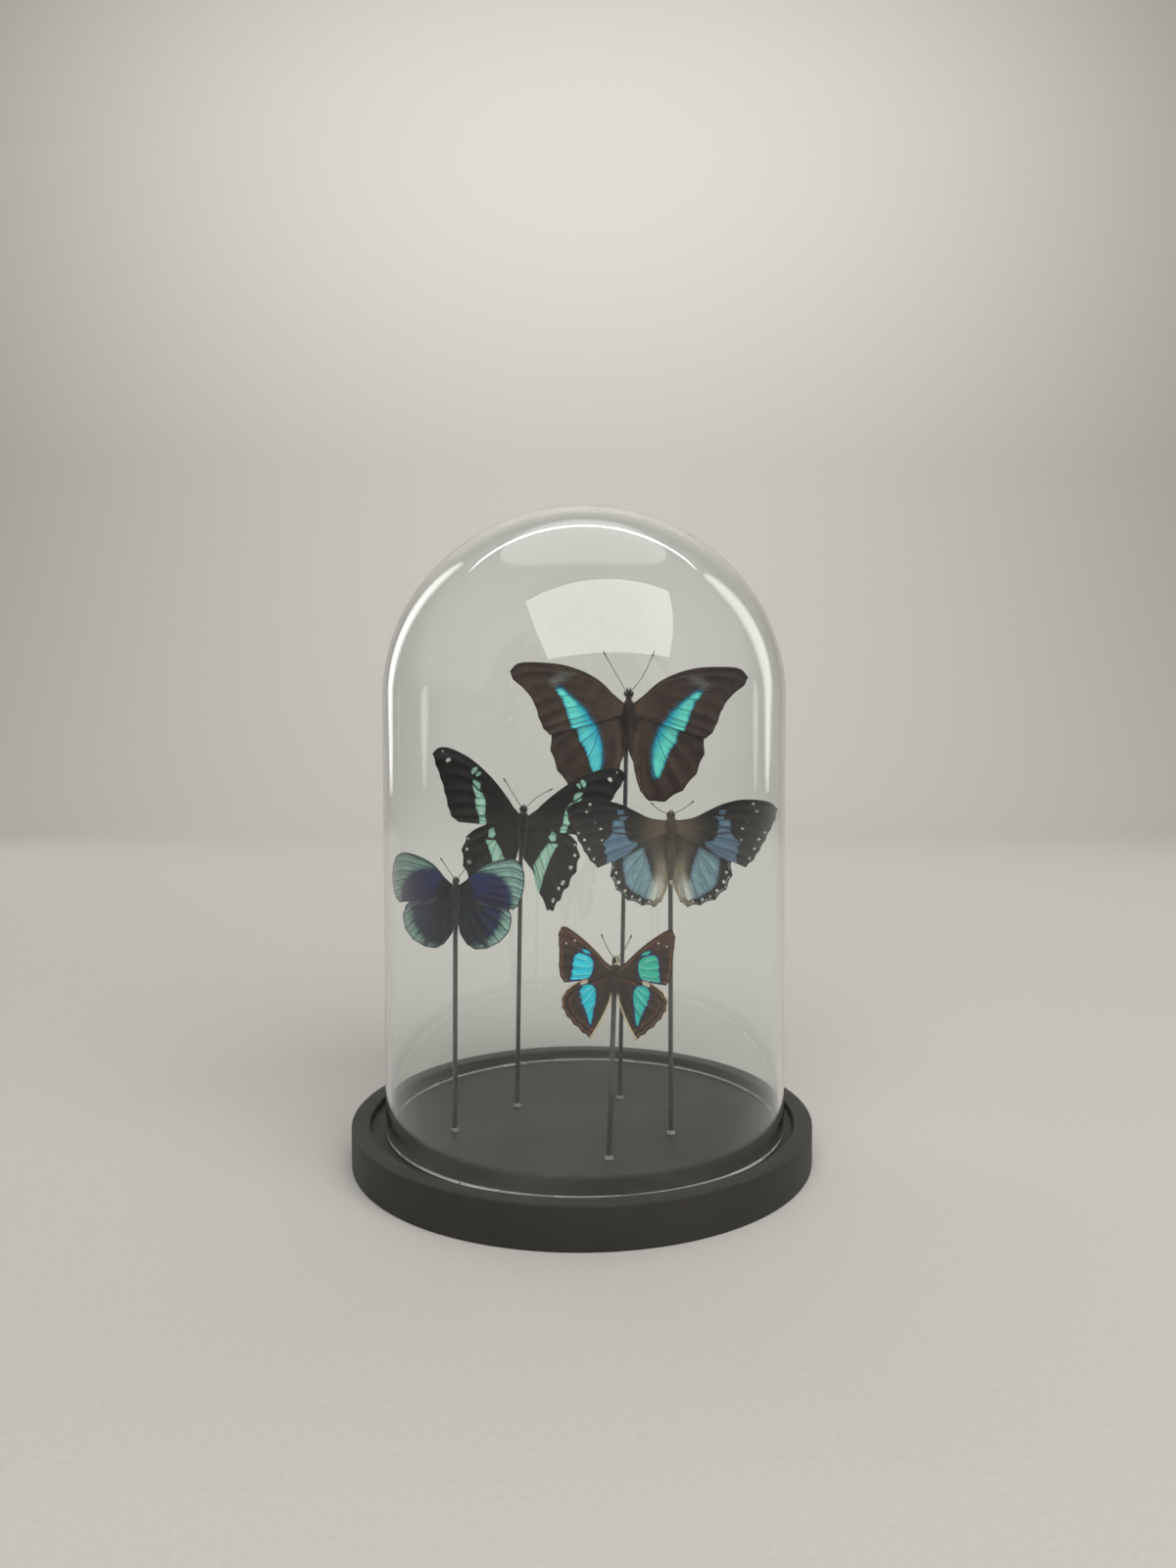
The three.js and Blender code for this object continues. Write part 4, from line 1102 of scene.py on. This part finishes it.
def ground_rim():
    """The same glass where its rim was ground level and fire-polished: slightly milky as ground glass is, and
    milkier still as a painted glint, so that it holds light in a bright line as the real lip does by
    refraction.
    """
    material, tree = new_material("ground soda-lime glass rim")
    place = add_node(tree, "ShaderNodeTexCoord").outputs["Object"]
    # The grinding leaves flatter and duller stretches some 18 mm long, so the rim glints unevenly.
    stretches = add_node(tree, "ShaderNodeTexNoise", {"Vector": place, "Scale": 1 / (18 * MM), "Detail": 3.0})
    rough = add_node(tree, "ShaderNodeMapRange", {
        "Value": stretches, "From Min": 0.35, "From Max": 0.65, "To Min": 0.12, "To Max": 0.45})
    # Partly painted glint: the part that isn't clear glass diffuses light, standing in for the light that the
    # real lip refracts.
    shader = add_node(tree, "ShaderNodeBsdfPrincipled", {
        "Base Color": linear("#f4f7f5"), "Roughness": rough, "IOR": 1.46, "Transmission Weight": 0.6})
    add_node(tree, "ShaderNodeOutputMaterial", {"Surface": shader})
    return material


def drawn_steel():
    """Dark drawn steel wire: a soft lengthwise shine with fine drawing lines and duller patches."""
    material, tree = new_material("dark drawn steel")
    place = add_node(tree, "ShaderNodeTexCoord").outputs["Object"]
    # Drawing lines 0.15 mm wide and many times as long.
    drawn = add_node(tree, "ShaderNodeMapping", {"Vector": place, "Scale": (1, 1, 0.02)})
    lines = add_node(tree, "ShaderNodeTexNoise", {"Vector": drawn, "Scale": 1 / (0.15 * MM), "Detail": 2.0})
    patches = add_node(tree, "ShaderNodeTexNoise", {"Vector": place, "Scale": 1 / (6 * MM), "Detail": 3.0})
    colour = add_node(tree, "ShaderNodeMix", {0: patches, 6: linear("#4b4b4c"), 7: linear("#7c7b79")},
                      data_type="RGBA").outputs[2]
    rough = add_node(tree, "ShaderNodeMapRange", {"Value": patches, "To Min": 0.25, "To Max": 0.5})
    bump = add_node(tree, "ShaderNodeBump", {"Height": lines, "Strength": 0.25, "Distance": 0.01 * MM})
    shader = add_node(tree, "ShaderNodeBsdfPrincipled", {
        "Base Color": colour, "Metallic": 1.0, "Roughness": rough, "Normal": bump})
    add_node(tree, "ShaderNodeOutputMaterial", {"Surface": shader})
    return material


def set_adhesive():
    """Set hot-melt adhesive: clear, a little milky and smoothly rounded."""
    material, tree = new_material("set hot-melt adhesive")
    place = add_node(tree, "ShaderNodeTexCoord").outputs["Object"]
    # Trapped bubbles and haze about 0.6 mm across.
    haze = add_node(tree, "ShaderNodeTexNoise", {"Vector": place, "Scale": 1 / (0.6 * MM), "Detail": 2.0})
    colour = add_node(tree, "ShaderNodeMix", {0: haze, 6: linear("#8f8d86"), 7: linear("#c9c6bc")},
                      data_type="RGBA").outputs[2]
    shader = add_node(tree, "ShaderNodeBsdfPrincipled", {
        "Base Color": colour, "Roughness": 0.28, "IOR": 1.48, "Transmission Weight": 0.55})
    add_node(tree, "ShaderNodeOutputMaterial", {"Surface": shader})
    return material


class BuildBase(bpy.types.Operator):
    """Builds the round black base with its recess and the rods' sockets"""

    bl_idname = "glass_dome.build_base"
    bl_label = "Base"

    def execute(self, context):
        s = sizes()
        deselect()
        bpy.ops.mesh.primitive_cylinder_add(vertices=240, radius=s.base_radius, depth=s.base_height,
                                            location=(0, 0, s.base_height / 2))
        piece = new_piece("base_board")
        bpy.ops.object.mode_set(mode="EDIT")
        select_faces(piece, lambda face: face.normal.z > 0.5)
        bpy.ops.mesh.inset(thickness=s.base_radius - s.recess_radius)
        bpy.ops.mesh.extrude_region_move(TRANSFORM_OT_translate={"value": (0, 0, -s.recess_depth)})
        bpy.ops.object.mode_set(mode="OBJECT")
        apply_modifier(piece, "BEVEL", width=s.base_edge, segments=5, limit_method="ANGLE",
                       angle_limit=math.radians(60))
        for insect in BUTTERFLIES.values():
            drill_socket(piece, insect)
        smooth_by_angle(piece, 25)
        seat(piece, painted_board(), "painted_board", "base_disc")
        return {"FINISHED"}


def drill_socket(piece, insect):
    """Cuts one rod's snug socket into the floor of the recess."""
    s = sizes()
    floor = s.base_height - s.recess_depth
    depth = ROD_PLUG * MM
    x, y = insect["foot"]
    lean = (insect["rod_top"] - x) / (insect["centre"][1] + ROD_ABOVE_CENTRE - floor / MM)
    deselect()
    bpy.ops.mesh.primitive_cylinder_add(
        vertices=32, radius=s.rod_radius * 1.04, depth=2 * depth, location=(x * MM, y * MM, floor),
        rotation=(0, math.atan(lean), 0))
    drill = new_piece("drill")
    apply_modifier(piece, "BOOLEAN", operation="DIFFERENCE", object=drill, solver="EXACT")
    bpy.data.objects.remove(drill)


class BuildDome(bpy.types.Operator):
    """Builds the glass dome as one blown wall with a ground and rounded rim"""

    bl_idname = "glass_dome.build_dome"
    bl_label = "Glass dome"

    def execute(self, context):
        s = sizes()
        low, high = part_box("glass_dome")
        x, y = (low[0] + high[0]) / 2, (low[1] + high[1]) / 2
        foot, top = low[2], high[2]
        radius = (high[0] - low[0]) / 2
        shoulder = top - s.crown_height
        deselect()
        bpy.ops.mesh.primitive_uv_sphere_add(segments=192, ring_count=96, radius=1, location=(x, y, shoulder),
                                             scale=(radius, radius, s.crown_height))
        piece = new_piece("blown_dome")
        bpy.ops.object.mode_set(mode="EDIT")
        select_faces(piece, lambda face: face.center.z < shoulder)
        bpy.ops.mesh.delete(type="FACE")
        select_edges(piece, lambda a, b: max(a.z, b.z) < shoulder + 1e-6)
        steps = 24
        drop = (0, 0, (foot - shoulder) / steps)
        for _ in range(steps):
            bpy.ops.mesh.extrude_region_move(TRANSFORM_OT_translate={"value": drop})
        bpy.ops.object.mode_set(mode="OBJECT")
        # The blown wall wanders inwards a little, more in some places than in others, and not at its foot.
        for vertex in piece.data.vertices:
            turn = math.atan2(vertex.co.y - y, vertex.co.x - x)
            rise = (vertex.co.z - foot) / (top - foot)
            wave = math.sin(3 * turn + 5 * rise) + 0.6 * math.sin(5 * turn - 9 * rise + 1.1)
            pull = 1 - s.dome_waviness * (1 + wave / 1.6) / 2 / radius * min(1, rise * 6)
            vertex.co.x = x + (vertex.co.x - x) * pull
            vertex.co.y = y + (vertex.co.y - y) * pull
        apply_modifier(piece, "SOLIDIFY", thickness=s.dome_wall, offset=-1)
        apply_modifier(piece, "BEVEL", width=s.dome_lip, segments=6, limit_method="ANGLE",
                       angle_limit=math.radians(50))
        smooth_by_angle(piece, 60)
        seat(piece, blown_glass(), "glass", "glass_dome")
        piece.data.materials.append(ground_rim())
        for face in piece.data.polygons:
            face.material_index = 1 if face.center.z < foot + s.dome_lip else 0
        return {"FINISHED"}


def build_rod(name, insect, materials):
    """One butterfly's rod, with the adhesive round its foot and between its top and the thorax.

    materials are the rod's steel and the adhesive.
    """
    s = sizes()
    x, y = insect["foot"]
    foot = Vector((x * MM, y * MM, s.base_height - s.recess_depth))
    head = Vector((insect["rod_top"] * MM, y * MM, (insect["centre"][1] + ROD_ABOVE_CENTRE) * MM))
    up = (head - foot).normalized()
    start = foot - up * ROD_PLUG * MM
    lean = up.to_track_quat("Z", "Y").to_euler()
    deselect()
    bpy.ops.mesh.primitive_cylinder_add(vertices=32, radius=s.rod_radius, depth=(head - start).length,
                                        location=(start + head) / 2, rotation=lean)
    rod = new_piece(f"{name}_steel_rod")
    apply_modifier(rod, "BEVEL", width=0.25 * MM, segments=3, limit_method="ANGLE",
                   angle_limit=math.radians(50))
    give_materials(rod, materials, 0)
    deselect()
    bpy.ops.mesh.primitive_uv_sphere_add(segments=32, ring_count=16, radius=1, location=foot,
                                         scale=(s.bead_radius, s.bead_radius, s.bead_height))
    bead = new_piece("bead")
    bpy.ops.object.mode_set(mode="EDIT")
    bpy.ops.mesh.select_all(action="SELECT")
    just_above = foot + Vector((0, 0, 0.02 * MM))
    bpy.ops.mesh.bisect(plane_co=just_above, plane_no=(0, 0, 1), clear_inner=True, use_fill=True)
    bpy.ops.object.mode_set(mode="OBJECT")
    deselect()
    dab_place = head - Vector((0, s.rod_radius + ROD_GAP * MM / 2, 2.4 * MM))
    bpy.ops.mesh.primitive_uv_sphere_add(segments=24, ring_count=14, radius=s.dab_radius,
                                         location=dab_place, scale=(1, 0.9, 1.5))
    dab = new_piece("dab")
    for blob in (bead, dab):
        give_materials(blob, materials, 1)
    rod = join([rod, bead, dab], f"{name}_steel_rod")
    smooth_by_angle(rod, 40)
    seat(rod, None, "steel_rod", f"{name}_rod")


class BuildRods(bpy.types.Operator):
    """Builds the five slender steel rods with the adhesive at their feet and tops"""

    bl_idname = "glass_dome.build_rods"
    bl_label = "Rods"

    def execute(self, context):
        materials = [drawn_steel(), set_adhesive()]
        for name, insect in BUTTERFLIES.items():
            build_rod(name, insect, materials)
        return {"FINISHED"}


# ---- the butterflies' operators ----
def build_wings(kind):
    """Both wings of one kind for each butterfly, with their upper and under coats."""
    for name, insect in BUTTERFLIES.items():
        marks = {"vein", "fold", "edge", "inner", "root", "height", "hind", "green", *insect[kind]["marks"]}
        for side_name in ("left", "right"):
            coats = [wing_material(f"{name} {side_name} {kind} {face} scales", COATS[name, face], marks)
                     for face in ("upper", "under")]
            piece = build_wing(name, insect, kind, side_name, coats)
            seat(piece, None, f"{name}_scales", f"{name}_{side_name}_{kind}")


class BuildForewings(bpy.types.Operator):
    """Builds the front pair of wings of each butterfly"""

    bl_idname = "glass_dome.build_forewings"
    bl_label = "Forewings"

    def execute(self, context):
        build_wings("forewing")
        return {"FINISHED"}


class BuildHindwings(bpy.types.Operator):
    """Builds the rear pair of wings of each butterfly"""

    bl_idname = "glass_dome.build_hindwings"
    bl_label = "Hindwings"

    def execute(self, context):
        build_wings("hindwing")
        return {"FINISHED"}


class BuildBodies(bpy.types.Operator):
    """Builds each butterfly's body with its feelers, legs and hair"""

    bl_idname = "glass_dome.build_bodies"
    bl_label = "Bodies"

    def execute(self, context):
        rng = np.random.default_rng(FUR_SEED)
        for name, insect in BUTTERFLIES.items():
            body = build_body(name, insect)
            hair = fur(f"{name}_fur", insect, rng)
            hair.data.transform(insect_matrix(insect))
            give_materials(hair, body_materials(name), FUR)
            body = join([body, hair], f"{name}_body_haired")
            seat(body, None, f"{name}_scales", f"{name}_body")
        return {"FINISHED"}


# ---- stage ----
def softbox(name, place, target, width, height, power, mirrored=True):
    """An area light that faces a point. One that isn't mirrored leaves no highlight on glass."""
    deselect()
    bpy.ops.object.light_add(type="AREA", location=place)
    lamp = bpy.context.object
    lamp.name = name
    lamp.data.shape = "ELLIPSE" if mirrored else "RECTANGLE"
    lamp.data.size = width
    lamp.data.size_y = height
    lamp.data.energy = power
    lamp.data.color = linear("#fffefb")[:3]
    lamp.visible_glossy = mirrored
    facing = Vector(target) - Vector(place)
    lamp.rotation_euler = facing.to_track_quat("-Z", "Y").to_euler()


def matt_paper():
    """Pale matt paper, for the floor and the wall behind it."""
    material, tree = new_material("matt pale paper")
    place = add_node(tree, "ShaderNodeTexCoord").outputs["Object"]
    # Paper tooth, drawn at 2 mm so that it shows a little.
    tooth = add_node(tree, "ShaderNodeTexNoise", {"Vector": place, "Scale": 1 / (2 * MM), "Detail": 2.0})
    paper = linear(sizes().floor_colour)
    colour = add_node(tree, "ShaderNodeMix", {0: tooth, 6: paper, 7: linear("#9b9994")},
                      data_type="RGBA").outputs[2]
    shader = add_node(tree, "ShaderNodeBsdfPrincipled", {"Base Color": colour, "Roughness": 0.8})
    add_node(tree, "ShaderNodeOutputMaterial", {"Surface": shader})
    return material


def paper_sweep(back):
    """The floor, which curves up into a wall at this distance behind, in metres."""
    width, wall, bend = 18, 3, 0.9
    deselect()
    bpy.ops.mesh.primitive_plane_add(size=1, location=(0, 0, 0))
    bpy.context.object.scale = (width, 2 * back, 1)
    floor = new_piece("pale_floor")
    bpy.ops.object.mode_set(mode="EDIT")
    select_edges(floor, lambda a, b: min(a.y, b.y) > back - 0.01)
    bpy.ops.mesh.extrude_region_move(TRANSFORM_OT_translate={"value": (0, 0, wall)})
    select_edges(floor, lambda a, b: min(a.y, b.y) > back - 0.01 and max(a.z, b.z) < 0.01)
    bpy.ops.mesh.bevel(offset=bend, segments=32, affect="EDGES")
    bpy.ops.object.mode_set(mode="OBJECT")
    bpy.ops.object.shade_smooth()
    floor.data.materials.append(matt_paper())


def even_light(scene):
    """A dim, even light from all round."""
    world = bpy.data.worlds.new("even studio light")
    scene.world = world
    world.use_nodes = True
    tree = world.node_tree
    tree.nodes.clear()
    light = add_node(tree, "ShaderNodeBackground", {"Color": linear("#f6f7fa"), "Strength": 0.2})
    add_node(tree, "ShaderNodeOutputWorld", {"Surface": light})


def place_camera(scene):
    """The camera, close in front of the dome and a little above its middle."""
    pan, tilt, roll = -0.0062, -0.0442, -0.0023
    deselect()
    bpy.ops.object.camera_add(location=(0, -0.47539, 0.18228))
    camera = bpy.context.object
    camera.name = "camera"
    turn = Matrix.Rotation(pan, 4, "Z") @ Matrix.Rotation(math.pi / 2 + tilt, 4, "X")
    camera.rotation_euler = (turn @ Matrix.Rotation(roll, 4, "Z")).to_euler()
    camera.data.lens = 24.95
    camera.data.sensor_width = 36
    camera.data.sensor_fit = "AUTO"
    camera.data.clip_start = 0.01
    scene.camera = camera


class BuildStage(bpy.types.Operator):
    """Builds the pale floor, its curved-up back, the soft lights and the camera"""

    bl_idname = "glass_dome.build_stage"
    bl_label = "Floor, lights and camera"

    def execute(self, context):
        back = 2.4
        paper_sweep(back)
        middle = (0, 0, 0.14)
        softbox("key_softbox", (0.3, -1.15, 1.5), middle, 2.4, 1.5, 66, mirrored=False)
        softbox("top_softbox", (0.0, 0.35, 1.7), middle, 1.6, 1.2, 4)
        softbox("wall_softbox", (0.0, 1.0, 2.0), (0, back, 0.9), 2.6, 0.6, 56, mirrored=False)
        softbox("left_strip", (-1.1, 1.15, 0.72), middle, 0.3, 1.4, 1.6)
        softbox("right_strip", (1.25, 0.75, 0.72), middle, 0.34, 1.4, 1.9)
        even_light(context.scene)
        context.scene.view_settings.view_transform = "Standard"
        place_camera(context.scene)
        return {"FINISHED"}


# ---- sizes, panel and registration ----
def length(name, description, default):
    """A size in metres that a user may change."""
    return bpy.props.FloatProperty(name=name, description=description, default=default, min=0, unit="LENGTH",
                                   subtype="DISTANCE", precision=5)


def hex_colour(name, description, default):
    """A colour as a hex value that a user may change."""
    return bpy.props.StringProperty(name=name, description=description, default=default)


BASE_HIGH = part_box("base_disc")[1]


class DomeSizes(bpy.types.PropertyGroup):
    """The sizes and colours that the panel shows."""

    base_radius: length("Base radius", "Outer radius of the round base", BASE_HIGH[0])
    base_height: length("Base height", "Thickness of the base", BASE_HIGH[2])
    base_edge: length("Edge rounding", "Rounding of the base's edges", 0.0009)
    recess_radius: length("Recess radius", "Radius of the recess that the dome stands in", 0.092)
    recess_depth: length("Recess depth", "How far the recess is sunk into the base", 0.0036)
    crown_height: length("Crown height", "Height of the dome's curved top", 0.082)
    dome_wall: length("Glass wall", "Thickness of the glass", 0.0022)
    dome_lip: length("Rim rounding", "Rounding of the dome's rim", 0.00105)
    dome_waviness: length("Waviness", "How far the blown glass strays from a true round", 0.0003)
    rod_radius: length("Rod radius", "Half the rods' thickness", 0.001)
    bead_radius: length("Bead radius", "Radius of the adhesive round a rod's foot", 0.0019)
    dab_radius: length("Dab radius", "Radius of the adhesive between a rod's top and the thorax", 0.00155)
    bead_height: length("Bead height", "Height of the adhesive round a rod's foot", 0.0016)
    wing_mesh: length("Wing mesh", "Width of one face of a wing's mesh", 0.00048)
    vein_thickness: length("Vein thickness", "Thickness of a wing at its veins", 0.0004)
    membrane_thickness: length("Membrane thickness", "Thickness of a wing between its veins", 0.00015)
    corrugation: length("Corrugation", "How far the veins stand out of the folds between them", 0.00025)
    hair_length: length("Hair length", "Usual length of a thorax hair", 0.0017)
    board_colour: hex_colour("Board colour", "Hex colour of the base", "#222120")
    floor_colour: hex_colour("Floor colour", "Hex colour of the floor", "#a3a19d")


def sizes():
    """The sizes and colours that the operators read."""
    return bpy.context.scene.glass_dome_sizes


STEPS = (BuildBase, BuildDome, BuildRods, BuildBodies, BuildForewings, BuildHindwings, BuildStage)


class DomePanel(bpy.types.Panel):
    """The sizes, and a button for each step."""

    bl_idname = "VIEW3D_PT_glass_dome"
    bl_label = "Butterflies in a glass dome"
    bl_space_type = "VIEW_3D"
    bl_region_type = "UI"
    bl_category = "Glass Dome"

    def draw(self, context):
        for name in DomeSizes.__annotations__:
            self.layout.prop(sizes(), name)
        for step in STEPS:
            self.layout.operator(step.bl_idname)


def register():
    for item in (DomeSizes, *STEPS, DomePanel):
        bpy.utils.register_class(item)
    bpy.types.Scene.glass_dome_sizes = bpy.props.PointerProperty(type=DomeSizes)


def unregister():
    del bpy.types.Scene.glass_dome_sizes
    for item in reversed((DomeSizes, *STEPS, DomePanel)):
        bpy.utils.unregister_class(item)


def main():
    """Takes every step."""
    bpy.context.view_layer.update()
    register()
    for step in STEPS:
        family, name = step.bl_idname.split(".")
        getattr(getattr(bpy.ops, family), name)()


if __name__ == "__main__":
    main()
